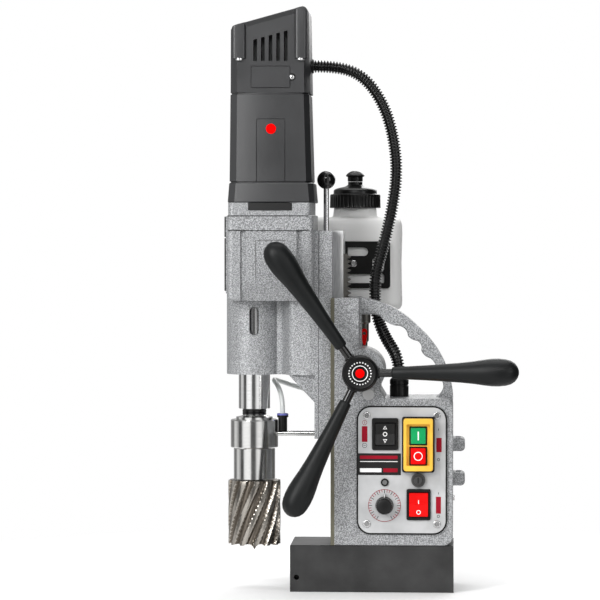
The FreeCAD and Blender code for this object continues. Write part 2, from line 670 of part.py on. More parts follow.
def make_gearbox():
    axis_x, quill = dim("spindle_x"), dim("quill_radius")
    left, right, half = dim("gearbox_left"), dim("gearbox_right"), dim("gearbox_half")
    low, step, top = dim("quill_bottom"), dim("gearbox_step"), dim("gearbox_top")
    lay = (dim("layshaft_x"), dim("layshaft_y"))
    wall = dim("gearbox_wall")
    face = -half - dim("panel_rise")
    panel_left, panel_right, groove = -128.9, -76.8, 5.7

    box = new_body("gearbox_housing")
    pad(box, "XY", step, top, rounded(left, right, -half, half, 6))
    soften(box, "Fillet", 3, lambda a, b, e: max(a.z, b.z) < float(step) + 0.1)
    pocket(box, "XZ", -half - 1, -half + 2.5, rect(panel_left - groove, panel_left, step - 1, top + 1),
           rect(panel_right, panel_right + groove, step - 1, top + 1))
    pad(box, "XZ", face, -half + 1, rect(panel_left, panel_right, step + 3, top))
    pocket(box, "YZ", panel_left - groove, panel_right + groove, polygon(
        (face - 1, 320), (face - 1, step - 1), (-41.5, step - 1)))
    pocket(box, "XZ", face - 1, face + 0.6, rect(-118.9, -88.9, 306, 361.5))
    pad(box, "XY", low, top, circle(axis_x, 0, quill))
    pad(box, "XY", 306, top, rect(SIDE_FACE, left + 8, -13, 13))
    pad(box, "XY", low, step + 1, outline(
        (-99.5, -15.2), ((-94.6, -16.6), (-91.2, -20.5)), (-86.5, -29), ((-83.7, -32.3), (-79, -33.6)),
        (-61, -36.2), (-61, 36.2), (-79, 33.6), ((-83.7, 32.3), (-86.5, 29)), (-91.2, 20.5),
        ((-94.6, 16.6), (-99.5, 15.2))))
    slide_low, front, flange = dim("slide_bottom"), dim("carriage_front"), dim("flange_left")
    pad(box, "XY", slide_low, top, rect(flange, dim("slide_left"), front, -front))
    pad(box, "XY", low, top, rect(flange - 5, flange + 1, front + 0.3, -front - 0.3))
    pad(box, "XZ", -31, 31, polygon((-86, low), (flange, 194), (flange, low + 4), (-86, low + 4)))

    floor = 316
    pocket(box, "XY", floor, top + 1, rounded(-143, right - 3, -43, half - 3.5, 8))
    pocket(box, "XY", floor, top + 1, circle(axis_x, 0, 25.9))
    pocket(box, "XY", low - 1, 226, circle(axis_x, 0, 17))
    pocket(box, "XY", 226, 241, circle(axis_x, 0, SPINDLE_LOW_BEARING + 0.02))
    pocket(box, "XY", 241, 303, circle(axis_x, 0, 19))
    pocket(box, "XY", 303, floor, circle(axis_x, 0, SPINDLE_HIGH_BEARING + 0.02))
    pocket(box, "XY", 306, floor, circle(*lay, LAY_BEARING + 0.02))
    pocket(box, "XY", 228, floor, rect(-84, -65, -27, 27))
    pocket(box, "XZ", -quill - 1, -17, rounded(-126.8, -117.2, 263.3, 292.3, 4.7))

    cover = new_body("gearbox_cover")
    seam = top + 15.4
    cover_top = dim("cover_top")
    pad(cover, "XY", top, seam, rounded(left, right, -half - 0.6, half + 0.6, 6))
    soften(cover, "Fillet", 1, lambda a, b, e: min(a.z, b.z) > float(seam) - 0.1)
    pad(cover, "XY", top, seam - 1, rect(SIDE_FACE, left + 8, -13, 13))
    pad(cover, "XY", seam - 1, cover_top, rounded(left + 1.2, right - 2.4, -half + 1, half - 1, 6))
    ceiling = cover_top - 5.7
    pocket(cover, "XY", top - 1, ceiling, rounded(left + wall + 1.2, right - 5, -half + 3.5, half - 3.5, 6))
    motor_x = dim("motor_x")
    pad(cover, "XY", ceiling - 8, ceiling, circle(motor_x, 0, MOTOR_BEARING + 3), circle(motor_x, 0, 11.02))
    pad(cover, "XY", ceiling - 8, ceiling, circle(*lay, LAY_BEARING + 2.5), circle(*lay, LAY_BEARING + 0.02))
    pocket(cover, "XY", ceiling - 1, cover_top + 1, circle(motor_x, 0, 6))
    pocket(cover, "XZ", -half, -half + 2, rect(-126.8, -81.2, cover_top - 8.2, cover_top + 1))
    pocket(cover, "XZ", -half, -half + 9, rect(-125, -83, ceiling + 0.6, cover_top + 1))

    plates = new_body("side_plates")
    pad(plates, "YZ", SIDE_FACE - 1.6, SIDE_FACE, rounded(-12, 12, 308.5, 363.4, 2),
        rounded(-12, 12, 364.4, 385.7, 2))


# ---- Carriage: motor ----

DOOR_SCREW = (-82.2, 528.3)


def bevelled(left, right, half, bevel_x, bevel_y):
    """A plan outline with a flat bevel across each corner."""
    return polygon(
        (left + bevel_x, -half), (right - bevel_x, -half), (right, -half + bevel_y), (right, half - bevel_y),
        (right - bevel_x, half), (left + bevel_x, half), (left, half - bevel_y), (left, -half + bevel_y))


def make_motor():
    low, high = dim("cover_top"), dim("motor_flange_top")
    flange = new_body("motor_flange")
    pad(flange, "XY", low, high, bevelled(-148.5, -58.8, 47, 10, 14))
    soften(flange, "Fillet", 2, lambda a, b, e: min(a.z, b.z) > float(high) - 0.1)
    pocket(flange, "XY", low, high, circle(dim("motor_x"), 0, 36))

    left, right, half = dim("motor_left"), dim("motor_right"), dim("motor_half")
    wall, top = dim("shell_wall"), dim("motor_top")
    housing = new_body("motor_housing")
    pad(housing, "XY", high, top, bevelled(left, right, half - 1.5, 8, 12))
    pocket(housing, "XY", high, top, bevelled(left + wall, right - wall, half - 1.5 - wall, 7, 11))
    pad(housing, "XZ", -half, -half + 1.6, rounded(-120.8, -90.6, high + 1, 487, 1.5))

    cap_left, cap_right, cap_half = dim("cap_left"), dim("cap_right"), 42
    cap = new_body("motor_cap")
    pad(cap, "XY", top, dim("cap_top"), bevelled(cap_left, cap_right, cap_half, 8, 11))
    pocket(cap, "XZ", -cap_half - 1, cap_half + 1, outline(
        (cap_left - 1, 574), (cap_left, 574), ((-144.9, 578.6), (-141, 581)), (-71.5, 600.6),
        ((-66, 599), (cap_right, 594.5)), (cap_right + 1, 594.5), (cap_right + 1, 606), (cap_left - 1, 606)))
    pocket(cap, "XY", top, 568, bevelled(cap_left + wall, cap_right - wall, cap_half - wall, 7, 10))
    pocket(cap, "XY", 567, 576.2, circle(dim("motor_x"), 0, 10.02))
    for slot in range(5):
        x = -120.1 + 8.0 * slot
        pocket(cap, "XZ", -cap_half - 1, -cap_half + 5,
               rounded(x - 2.2, x + 2.2, 545, 565 + 2.3 * slot, 1.2))
    pocket(cap, "YZ", cap_right - 4, cap_right + 1, circle(0, 541.6, 6.05))
    door = new_body("cable_door")
    pad(door, "XZ", -cap_half - 1.4, -cap_half, rounded(-123.7, -83.9, 517.7, 539.6, 1.5))
    pad(door, "XZ", -cap_half - 1.4, -cap_half, circle(*DOOR_SCREW, 3.6))
    soften(door, "Chamfer", 0.5, lambda a, b, e: max(a.y, b.y) < -43.3)

    screws = new_body("carriage_screws")
    for x in (-135.2, -71.4):
        pad(screws, "XZ", -cap_half - 1.2, -cap_half, circle(x, 548, 3.2))
    pad(screws, "XZ", -cap_half - 2.2, -cap_half - 1.4, circle(*DOOR_SCREW, 2.4))
    bracket_face = dim("bottle_front") - 3
    pad(screws, "XZ", bracket_face - 2.4, bracket_face, circle(-21.7, 336.4, 3.6))

    turned("conduit_gland_upper", "X", (0, 0, 541.6),
           [(3.6, cap_right - 6), (6, cap_right - 6), (6, cap_right), (7.4, cap_right),
            (7.4, cap_right + 1.6), (6.9, cap_right + 2.2), (3.6, cap_right + 2.2)])

    axis = (dim("motor_x"), 0, 0)
    turned("stator", "Z", axis, [(25, 436), (31, 436), (31, 428), (38, 428), (38, 504), (31, 504), (31, 496),
                                 (25, 496)])


# ---- Carriage: bearings and coolant ----

def ring(inner, outer, low, high, centre):
    return lathe([(inner, low), (outer, low), (outer, high), (inner, high)], centre)


def make_bearings():
    gap = float(dim("running_gap"))
    spindle = (dim("spindle_x"), 0)
    lay = (dim("layshaft_x"), dim("layshaft_y"))
    motor = (dim("motor_x"), 0)
    rings = [
        ring(12.5 + gap, SPINDLE_LOW_BEARING, 226, 241, spindle),
        ring(12.5 + gap, SPINDLE_HIGH_BEARING, 303.2, 315, spindle),
        ring(4 + gap, LAY_BEARING, 307, 315, lay),
        ring(4 + gap, LAY_BEARING, 387, 394, lay),
        ring(4 + gap, MOTOR_BEARING, 387, 394, motor),
        ring(4 + gap, 10, 568, 576, motor)]
    free_shape("shaft_bearings", Part.makeCompound(rings))


HOSE_X = -93.95
HOSE_ROUTE = [
    (-93.95, 0, 180.6), (-93.95, 0, 195), (-99, 10, 209), (-106, 30, 215), (-102, 50, 213),
    (-84, 59, 206), (-61, 60, 200), (-39, 62, 200), (-22, 67, 209), (-12.5, 77, 221), (-11.3, 81.75, 234),
    (-11.3, 81.75, 246)]
CONDUIT_ROUTE = [
    (-61.5, 0, 541.6), (-35.5, 0, 541.6), (-9, 1, 531), (11, 4, 503), (21.5, 8, 468), (25, 12, 430),
    (19, 16, 390), (9.5, 19, 352), (2.2, 20.5, 326), (1.5, 20.6, 305), (2.5, 20, 285), (11.5, 13.5, 261),
    (27.3, 2, 238), (27.3, 2, 218)]


def make_coolant():
    low, high, outer = dim("coolant_ring_bottom"), dim("coolant_ring_top"), dim("coolant_ring_radius")
    turned("coolant_ring", "Z", (dim("spindle_x"), 0, 0),
           [(17.4, low), (outer - 0.8, low), (outer, low + 0.8), (outer, high - 0.8), (outer - 0.8, high),
            (17.4, high)])
    arm = new_body("coolant_arm")
    pad(arm, "YZ", dim("spindle_x") + outer - 0.05, dim("flange_left"), circle(0, 160.2, 2.7))
    turned("hose_fitting", "Z", (HOSE_X, 0, 0),
           [(0, 162.9), (4.7, 162.9), (4.7, 177), (5.9, 177), (5.9, 180.6), (0, 180.6)])
    free_shape("coolant_hose", cord_tube(HOSE_ROUTE, dim("hose_radius")))
    free_shape("conduit", cord_tube(CONDUIT_ROUTE, dim("conduit_radius")))

    front, back = dim("bottle_front"), dim("bottle_back")
    bracket = new_body("bottle_bracket")
    pad(bracket, "XZ", front - 3, front, rounded(-54, 16.8, 310.3, 359.9, 3))
    pad(bracket, "XY", 318, 352, rect(-54, -43, 36.5, front - 3))
    pocket(bracket, "XZ", front - 3, front, outline(
        (-28, 344.5), (-11.5, 344.5), ((-6.6, 349), (-11.5, 353.4)), (-28, 353.4)),
        rounded(-28, 10.5, 315.8, 325.2, 1.5), rounded(-2, 10.5, 329.2, 341.5, 1.5))

    bottle_low, shoulder, wall = dim("bottle_bottom"), dim("bottle_shoulder"), dim("bottle_wall")
    left, right = dim("bottle_left"), dim("bottle_right")
    neck = (dim("bottle_neck_x"), (front + back) / 2)
    bottle = new_body("bottle")
    pad(bottle, "XY", bottle_low, shoulder, rounded(left, right, front, back, 15))
    soften(bottle, "Fillet", 11, lambda a, b, e: min(a.z, b.z) > float(shoulder) - 0.1)
    soften(bottle, "Fillet", 4, lambda a, b, e: max(a.z, b.z) < float(bottle_low) + 0.1)
    pad(bottle, "XY", shoulder - 1, shoulder + 9.8, circle(*neck, 25.5))
    pad(bottle, "XY", shoulder + 9.8, shoulder + 20, circle(*neck, 22))
    pocket(bottle, "XY", bottle_low + 4, shoulder - 10,
           rounded(left + wall, right - wall, front + wall, back - wall, 13.4))
    pocket(bottle, "XY", shoulder - 11, shoulder + 20, circle(*neck, 20))
    turned("bottle_cap", "Z", (neck[0], neck[1], shoulder),
           [(22.3, 10.1), (27.1, 10.1), (27.1, 24), (26.3, 24.8), (22.8, 24.8), (22.8, 30), (20.5, 32.3),
            (7.6, 32.3), (7.6, 38), (4, 38), (4, 28), (19, 28), (19, 22), (22.3, 22)])
    turned("bottle_spout", "Z", (neck[0], neck[1], shoulder),
           [(8, 38.4), (8.6, 42.6), (9.3, 43.2), (9.3, 49), (8.3, 49.8), (3, 49.8), (3, 30), (3.6, 30),
            (3.6, 38.4)])

    tap_x, tap_y = HOSE_ROUTE[-1][0], HOSE_ROUTE[-1][1]
    tap = turned("tap_body", "Z", (tap_x, tap_y, 0),
                 [(0, 246), (3.2, 246), (3.2, 252), (4.6, 254), (4.6, 272), (6.5, 273.5), (6.5, bottle_low),
                  (0, bottle_low)])
    pad(tap, "XZ", -9.5, 0, circle(0, 262, 1.6))
    lever = new_body("tap_lever")
    pad(lever, "XZ", tap_y - 8.6, tap_y - 5.4, outline(
        (tap_x - 3, 259), (tap_x - 1.2, 249.5), (tap_x + 1.2, 249.5), (tap_x + 3, 259), (tap_x + 3, 264),
        ((tap_x, 267), (tap_x - 3, 264))))
    pocket(lever, "XZ", tap_y - 9, tap_y - 5, circle(tap_x, 262, 1.65))


# ---- Spindle, cutter and gear train ----

def make_spindle():
    centre = (dim("spindle_x"), 0)
    shaft = lathe([(8.05, 186.3), (16.3, 186.3), (16.3, 225), (12.5, 225), (12.5, 243), (15, 243), (15, 302.5),
                   (12.5, 302.5), (12.5, 316.5), (10, 316.5), (10, 345), (0, 345), (0, 216), (8.05, 216)], centre)
    dx = float(dim("layshaft_x")) - float(dim("spindle_x"))
    dy = float(dim("layshaft_y"))
    to_lay = math.atan2(dy, dx)
    gap_phase = to_lay + math.pi / 38
    big = gear(1.25, 38, gap_phase, 318, 332, centre)
    free_shape("spindle_shaft", shaft.fuse(big).removeSplitter())

    lay = (dim("layshaft_x"), dim("layshaft_y"))
    to_motor = math.atan2(-dy, float(dim("motor_x")) - float(dim("layshaft_x")))
    lay_shaft = round_bar(Vector(float(lay[0]), float(lay[1]), 306), Vector(0, 0, 1), 4, 87.5)
    small = gear(1.25, 12, to_lay + math.pi, 318, 332, lay)
    large = gear(0.8, 50, to_motor + math.pi / 50, 374, 384, lay)
    free_shape("layshaft", lay_shaft.fuse([small, large]).removeSplitter())

    motor = (dim("motor_x"), 0)
    core = lathe([(0, 384.5), (3, 384.5), (4, 385.5), (4, 402), (33, 403), (33, 416), (12, 417), (4, 420),
                  (4, 436), (24, 436), (24, 496), (4, 496), (4, 530), (13, 530), (13, 548), (4, 548),
                  (4, 575.8), (0, 575.8)], motor)
    pinion = gear(0.8, 10, to_motor + math.pi, 373, 384.5, motor)
    free_shape("armature", core.fuse(pinion).removeSplitter())

    turned("arbor", "Z", (centre[0], 0, 0),
           [(9.6, dim("arbor_bottom")), (dim("arbor_radius"), dim("arbor_bottom")),
            (dim("arbor_radius"), dim("arbor_top")), (17, dim("arbor_top")), (17, 175.1), (19, 175.1), (19, 177.4),
            (13, 178.6), (11.9, 179.6), (11.9, 186.3), (8, 186.3), (8, 215), (2.8, 215), (2.8, 141), (9.6, 141)])

    low, high = float(dim("cutter_bottom")), float(dim("cutter_top"))
    outer = float(dim("cutter_radius"))
    sections = []
    levels = 6
    twist = math.radians(66)
    for level in range(levels + 1):
        z = low + (high - 4 - low) * level / levels
        corners = []
        for tooth in range(int(dim("cutter_teeth").value)):
            start = 2 * math.pi * tooth / dim("cutter_teeth").value + twist * level / levels
            for share, radius in ((0, outer), (0.42, outer), (0.5, 24.2), (0.9, 24.2)):
                angle = start + share * 2 * math.pi / dim("cutter_teeth").value
                corners.append(Vector(radius * math.cos(angle), radius * math.sin(angle), z))
        sections.append(Part.makePolygon(corners + corners[:1]))
    body = Part.makeLoft(sections, True, True)
    body = body.fuse(lathe([(0, high - 4), (24.2, high - 4), (24.2, high - 2), (22, high), (9.5, high),
                            (9.5, high + 27), (0, high + 27)]))
    body = body.cut(lathe([(0, low - 1), (dim("cutter_bore"), low - 1), (dim("cutter_bore"), high - 12),
                           (0, high - 9)]))
    body = body.cut(lathe([(0, low), (2.4, low), (2.4, high + 30), (0, high + 30)]))
    free_shape("annular_cutter", body, (centre[0], 0, 0))

    pin_low = dim("pilot_bottom")
    turned("pilot_pin", "Z", (centre[0], 0, 0),
           [(0, pin_low), (dim("pilot_radius"), pin_low + 3.4), (dim("pilot_radius"), 150), (0, 150)])


# ---- Feed capstan ----

SPOKE_ANGLES = (0.8, 124.9, 243.6)
SPOKE_Y = -62
GRIP_PROFILE = [
    (33, 4.25), (33, 5.6), (34.5, 6.2), (50.5, 6.8), (68, 7.7), (86, 8.9), (104, 10.2), (117, 11.6), (127, 13.2),
    (135, 14), (142, 14), (149, 13.4), (154, 12), (158, 9.4), (160.6, 6), (162, 2.4), (162.2, 0), (62, 0),
    (62, 4.25)]


def make_capstan():
    feed = Vector(float(dim("feed_x")), 0, float(dim("feed_height")))
    tilt = math.radians(float(dim("spoke_tilt")))
    radius = float(dim("spoke_radius"))
    bars, sockets, grips = [], [], []
    origin = feed + Vector(0, SPOKE_Y, 0)
    profile = [Vector(along, 0, half) for along, half in GRIP_PROFILE]
    grip = Part.Face(Part.makePolygon(profile + profile[:1])).revolve(Vector(), Vector(1, 0, 0), 360)
    for angle in SPOKE_ANGLES:
        turn_angle = math.radians(angle)
        direction = Vector(math.cos(turn_angle) * math.cos(tilt), -math.sin(tilt),
                           math.sin(turn_angle) * math.cos(tilt))
        start = origin + direction * 10.5
        bars.append(round_bar(start, direction, radius, 51))
        sockets.append(round_bar(start, direction, radius + 0.02, 51))
        placed = grip.copy()
        placed.Placement = Placement(origin, Rotation(Vector(1, 0, 0), direction))
        grips.append(placed)
    free_shape("spokes", Part.makeCompound(bars))
    free_shape("grips", Part.makeCompound(grips))

    bore = float(dim("feed_shaft_radius")) + 0.02
    hub = lathe([(bore, 46), (15.5, 46), (15.5, 50), (18.5, 54), (18.5, 70), (17.6, 72), (16, 73), (0, 73), (0, 60),
                 (bore, 60)])
    hub.Placement = Placement(feed, Rotation(Vector(1, 0, 0), 90))
    free_shape("capstan_hub", hub.cut(sockets))

    module, teeth = float(dim("rack_module")), int(dim("pinion_teeth").value)
    shaft = lathe([(0, -60), (dim("feed_shaft_radius"), -60), (dim("feed_shaft_radius"), 42.4), (11, 42.4),
                   (11, 45), (0, 45)])
    pinion = gear(module, teeth, math.pi + math.pi / teeth, -10, 10, (0, 0), 1.0, 0.14)
    body = shaft.fuse(pinion).removeSplitter()
    body.Placement = Placement(feed, Rotation(Vector(1, 0, 0), -90))
    free_shape("feed_shaft", body, feed, Rotation(Vector(1, 0, 0), -90))


def make_lock():
    top = float(dim("slide_top"))
    turned("lock_rod", "Z", (LOCK_ROD_X, 0, top),
           [(0, -36), (2.2, -36), (2.75, -35), (2.75, 48), (0, 48)])
    ball = Vector(LOCK_ROD_X, 0, top + 52.9)
    socket = round_bar(Vector(LOCK_ROD_X, 0, top + 40), Vector(0, 0, 1), 2.77, 8)
    free_shape("lock_knob", Part.makeSphere(9.5, ball).cut(socket))


make_slide()
make_gearbox()
make_motor()
make_bearings()
make_coolant()
make_spindle()
make_capstan()
make_lock()


# ---- Checks and export ----

def export_parts():
    doc.recompute()
    failed = [item.Label for item in doc.Objects if "Invalid" in item.State or "Error" in item.State]
    for part in SUBPARTS:
        if part.Shape.isNull() or not part.Shape.isValid():
            failed.append(part.Label)
    if failed:
        raise RuntimeError(f"failed objects: {failed}")
    os.makedirs("parts", exist_ok=True)
    for part in SUBPARTS:
        part.Shape.exportStep(f"parts/{part.Label}.step")
    print(len(SUBPARTS), "sub-parts written")


export_parts()
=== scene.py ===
import json
import math

import bmesh
import bpy
from mathutils import Matrix, Vector


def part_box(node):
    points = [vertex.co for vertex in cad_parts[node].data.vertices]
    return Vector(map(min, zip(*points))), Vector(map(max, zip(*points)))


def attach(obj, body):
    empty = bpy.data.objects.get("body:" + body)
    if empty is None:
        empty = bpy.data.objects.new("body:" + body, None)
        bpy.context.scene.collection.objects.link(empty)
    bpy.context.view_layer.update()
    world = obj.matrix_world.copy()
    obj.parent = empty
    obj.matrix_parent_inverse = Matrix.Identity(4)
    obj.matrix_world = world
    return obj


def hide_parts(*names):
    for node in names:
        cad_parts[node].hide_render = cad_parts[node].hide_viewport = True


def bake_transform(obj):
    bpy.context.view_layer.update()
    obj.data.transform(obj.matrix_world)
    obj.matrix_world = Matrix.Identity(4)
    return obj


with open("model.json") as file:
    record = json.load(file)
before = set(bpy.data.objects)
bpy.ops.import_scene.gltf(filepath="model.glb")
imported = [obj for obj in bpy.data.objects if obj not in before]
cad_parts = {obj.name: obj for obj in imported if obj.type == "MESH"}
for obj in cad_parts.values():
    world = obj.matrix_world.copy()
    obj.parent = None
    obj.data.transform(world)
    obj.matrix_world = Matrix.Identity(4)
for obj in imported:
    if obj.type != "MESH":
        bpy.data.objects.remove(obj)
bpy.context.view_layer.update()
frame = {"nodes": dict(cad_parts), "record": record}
nodes = frame["nodes"]
MM = 0.001
MATERIALS = {}

# How far a pattern is stretched along X, Y and Z; a small factor draws it out.
EVEN = (1, 1, 1)
ALONG_X = (0.08, 1, 1)
ALONG_Z = (1, 1, 0.06)
ROUND_Z = (0.15, 0.15, 9)
ACROSS_Z = (1, 1, 6)


# ---- Material helpers ----

class Paint:
    """A node material around one Principled shader."""

    def __init__(self, name, colour, rough, metal=0.0):
        self.material = bpy.data.materials.new(name)
        self.material.use_nodes = True
        self.tree = self.material.node_tree
        self.shader = self.tree.nodes["Principled BSDF"]
        self.set("Base Color", (*colour, 1))
        self.set("Roughness", rough)
        self.set("Metallic", metal)
        self.place = self.tree.nodes.new("ShaderNodeTexCoord").outputs["Object"]
        self.material.diffuse_color = (*colour, 1)
        MATERIALS[name] = self.material

    def set(self, socket, value):
        self.shader.inputs[socket].default_value = value

    def link(self, output, socket):
        self.tree.links.new(output, socket)

    def stretched(self, scale):
        """The object's coordinates stretched for a directional pattern."""
        mapping = self.tree.nodes.new("ShaderNodeMapping")
        mapping.inputs["Scale"].default_value = scale
        self.link(self.place, mapping.inputs["Vector"])
        return mapping.outputs["Vector"]

    def noise(self, size, detail=2.0, stretch=None, roughness=0.5):
        """Noise with features of about the given size in metres."""
        node = self.tree.nodes.new("ShaderNodeTexNoise")
        node.inputs["Scale"].default_value = 1 / size
        node.inputs["Detail"].default_value = detail
        node.inputs["Roughness"].default_value = roughness
        self.link(self.stretched(stretch) if stretch else self.place, node.inputs["Vector"])
        return node.outputs["Fac"]

    def cells(self, size):
        """Rounded cells of about the given size in metres."""
        node = self.tree.nodes.new("ShaderNodeTexVoronoi")
        node.feature = "SMOOTH_F1"
        node.inputs["Scale"].default_value = 1 / size
        node.inputs["Smoothness"].default_value = 0.6
        self.link(self.place, node.inputs["Vector"])
        return node.outputs["Distance"]

    def ramp(self, value, *stops):
        """A colour ramp through (position, colour) stops."""
        node = self.tree.nodes.new("ShaderNodeValToRGB")
        ramp = node.color_ramp
        while len(ramp.elements) < len(stops):
            ramp.elements.new(0.5)
        for element, (position, colour) in zip(ramp.elements, stops):
            element.position = position
            element.color = (*colour, 1)
        self.link(value, node.inputs["Fac"])
        return node.outputs["Color"]

    def level(self, value, low, high):
        """A value from 0 to 1 spread between two levels."""
        node = self.tree.nodes.new("ShaderNodeMapRange")
        node.inputs["To Min"].default_value = low
        node.inputs["To Max"].default_value = high
        self.link(value, node.inputs["Value"])
        return node.outputs["Result"]

    def colour_from(self, value, *stops):
        self.link(self.ramp(value, *stops), self.shader.inputs["Base Color"])

    def rough_from(self, value, low, high):
        self.link(self.level(value, low, high), self.shader.inputs["Roughness"])

    def bump(self, value, depth, strength=1.0, previous=None):
        """A bump of the given depth in metres."""
        node = self.tree.nodes.new("ShaderNodeBump")
        node.inputs["Distance"].default_value = depth
        node.inputs["Strength"].default_value = strength
        self.link(value, node.inputs["Height"])
        if previous:
            self.link(previous, node.inputs["Normal"])
        self.link(node.outputs["Normal"], self.shader.inputs["Normal"])
        return node.outputs["Normal"]


def grey(value):
    return value, value, value


def cool(value):
    """A grey with a slight blue cast."""
    return value * 0.98, value, value * 1.025


def hammered(name, light, dark):
    """Hammertone paint: small silver domes with dark flecks between them."""
    paint = Paint(name, grey(light), 0.42, 0.25)
    domes = paint.cells(0.0010)
    flecks = paint.noise(0.0009, roughness=0.7)
    drift = paint.noise(0.05)
    mix = paint.tree.nodes.new("ShaderNodeMath")
    mix.operation = "MULTIPLY_ADD"
    mix.inputs[1].default_value = 0.55
    paint.link(domes, mix.inputs[0])
    paint.link(flecks, mix.inputs[2])
    shades = (0.50, cool(light * 1.2)), (0.66, cool(light)), (0.84, cool(dark))
    paint.colour_from(mix.outputs[0], *shades)
    coarse = paint.bump(domes, 0.0005, 0.5)
    paint.bump(flecks, 0.0003, 0.5, coarse)
    paint.rough_from(drift, 0.34, 0.5)
    paint.set("Coat Weight", 0.25)
    paint.set("Coat Roughness", 0.25)


def plastic(name, colour, rough, grain=0.0006, depth=0.00003, coat=0.0, gloss=0.5):
    """Moulded plastic with a fine grain and slight unevenness."""
    paint = Paint(name, colour, rough)
    large = paint.noise(0.03, 3.0)
    shade = [tuple(channel * factor for channel in colour) for factor in (0.86, 1.12)]
    paint.colour_from(large, (0.35, shade[0]), (0.65, shade[1]))
    fine = paint.noise(grain)
    paint.bump(fine, depth, 0.6)
    paint.rough_from(large, max(rough - 0.08, 0.02), rough + 0.08)
    paint.set("Coat Weight", coat)
    paint.set("Coat Roughness", 0.15)
    paint.set("Specular IOR Level", gloss)


def machined(name, colour, rough, stretch, depth=0.00002, grain=0.0015):
    """Bare metal with tool marks drawn out along one direction."""
    paint = Paint(name, colour, rough, 1.0)
    marks = paint.noise(grain, 3.0, stretch, 0.6)
    cloud = paint.noise(0.02)
    low = tuple(channel * 0.86 for channel in colour)
    high = tuple(min(channel * 1.08, 1.0) for channel in colour)
    paint.colour_from(marks, (0.3, low), (0.7, high))
    paint.rough_from(cloud, max(rough - 0.07, 0.03), rough + 0.09)
    paint.bump(marks, depth, 0.5)


def blackened_steel(name):
    """Blackened steel with faint grinding marks and rubbed patches."""
    paint = Paint(name, grey(0.03), 0.45, 0.3)
    marks = paint.noise(0.0012, 4.0, ALONG_X, 0.6)
    patches = paint.noise(0.035, 4.0)
    paint.colour_from(patches, (0.35, grey(0.020)), (0.7, grey(0.042)))
    paint.rough_from(marks, 0.34, 0.6)
    paint.bump(marks, 0.00003, 0.5)


def milky(name, colour, transmission, rough):
    """Translucent plastic."""
    paint = Paint(name, colour, rough)
    cloud = paint.noise(0.02)
    paint.rough_from(cloud, rough, rough + 0.12)
    paint.set("Transmission Weight", transmission)
    paint.set("IOR", 1.42)
    paint.bump(paint.noise(0.004), 0.00005, 0.4)


# ---- Finishes ----

hammered("hammered_silver", 0.45, 0.19)
hammered("slide_paint", 0.42, 0.18)
blackened_steel("magnet_black")
machined("ground_steel", (0.72, 0.72, 0.72), 0.14, ROUND_Z)
machined("turned_steel", (0.68, 0.68, 0.67), 0.15, ROUND_Z)
machined("cutter_steel", (0.38, 0.355, 0.32), 0.22, ACROSS_Z)
machined("cutter_flute", (0.15, 0.13, 0.108), 0.32, ACROSS_Z)
machined("rack_steel", (0.13, 0.125, 0.115), 0.45, (1, 8, 1))
machined("brass", (0.21, 0.20, 0.15), 0.4, ALONG_Z)
machined("copper_winding", (0.80, 0.40, 0.22), 0.35, (1, 1, 8))
machined("screw_steel", (0.70, 0.70, 0.70), 0.25, EVEN)
plastic("panel_grey", (0.47, 0.475, 0.48), 0.42, 0.0004, 0.00001, 0.1)
plastic("plug_grey", (0.50, 0.50, 0.50), 0.5)
plastic("switch_black", grey(0.008), 0.36, gloss=0.25)
plastic("station_yellow", (0.86, 0.50, 0.06), 0.40, gloss=0.35)
plastic("button_green", (0.0, 0.30, 0.09), 0.35, gloss=0.4)
plastic("button_red", (0.74, 0.002, 0.002), 0.4, gloss=0.12)
plastic("indicator_black", grey(0.16), 0.25, coat=0.3)
plastic("board_green", (0.03, 0.20, 0.07), 0.4)
plastic("gland_black", grey(0.003), 0.3, gloss=0.3)
plastic("motor_plastic", (0.0125, 0.013, 0.0145), 0.42, 0.0008, 0.00005, gloss=0.8)
plastic("grip_black", (0.007, 0.0078, 0.008), 0.42, 0.0012, 0.00005, gloss=0.2)
plastic("hub_black", grey(0.004), 0.32, gloss=0.25)
machined("chrome_rod", (0.60, 0.60, 0.61), 0.10, EVEN, 0.000005)
milky("bottle_plastic", (0.82, 0.82, 0.81), 0.1, 0.4)
plastic("bracket_black", grey(0.003), 0.4, gloss=0.25)
milky("hose_clear", (0.95, 0.97, 0.96), 0.5, 0.25)
plastic("conduit_black", grey(0.0025), 0.2, 0.0008, 0.00002, gloss=0.7)
plastic("print_white", grey(0.85), 0.45)
plastic("print_black", grey(0.006), 0.5, gloss=0.3)
plastic("print_red", (0.28, 0.006, 0.018), 0.5, gloss=0.1)
plastic("mark_red", (0.95, 0, 0), 0.5, gloss=0.03)
# painted shade: dark grey for the lines that stand for the shade in the gearbox seams
plastic("seam_shade_grey", grey(0.03), 0.5, gloss=0.2)
# painted shade: grey for the lines that stand for the shade on the edges of the label recess
plastic("recess_edge_shade_grey", grey(0.16), 0.5, gloss=0.2)
# painted shade: near-black for the sheet that stands for the shade in the cover's recess
plastic("recess_shade_black", grey(0.012), 0.5, gloss=0.3)
machined("spoke_dark", grey(0.05), 0.16, EVEN, 0.000005)
machined("rail_bright", grey(0.86), 0.42, (1, 1, 0.1))
plastic("gloss_black", grey(0.003), 0.12, gloss=0.5)
plastic("fuse_grey", grey(0.05), 0.4)
plastic("release_violet", (0.13, 0.14, 0.42), 0.35)

OWN_FINISH = {
    "dovetail_rail": "rail_bright", "lock_knob": "gloss_black", "fuse_cap": "fuse_grey",
    "fuse_holder": "fuse_grey", "pilot_pin": "cutter_flute", "spokes": "spoke_dark"}


def dress_cad():
    """Gives every CAD node the finish of its slot, or its own."""
    for part in frame["record"]["subparts"]:
        mesh = nodes[part["node"]].data
        mesh.materials.clear()
        mesh.materials.append(MATERIALS[OWN_FINISH.get(part["node"], part["material_slot"])])


# ---- Stage, light and camera ----

CAMERA_PLACE = Vector((0.084, -2.953, 0.3665))
CAMERA_AIM = Vector((-0.05415, 1.0, -0.02286))
LENS = 170.6


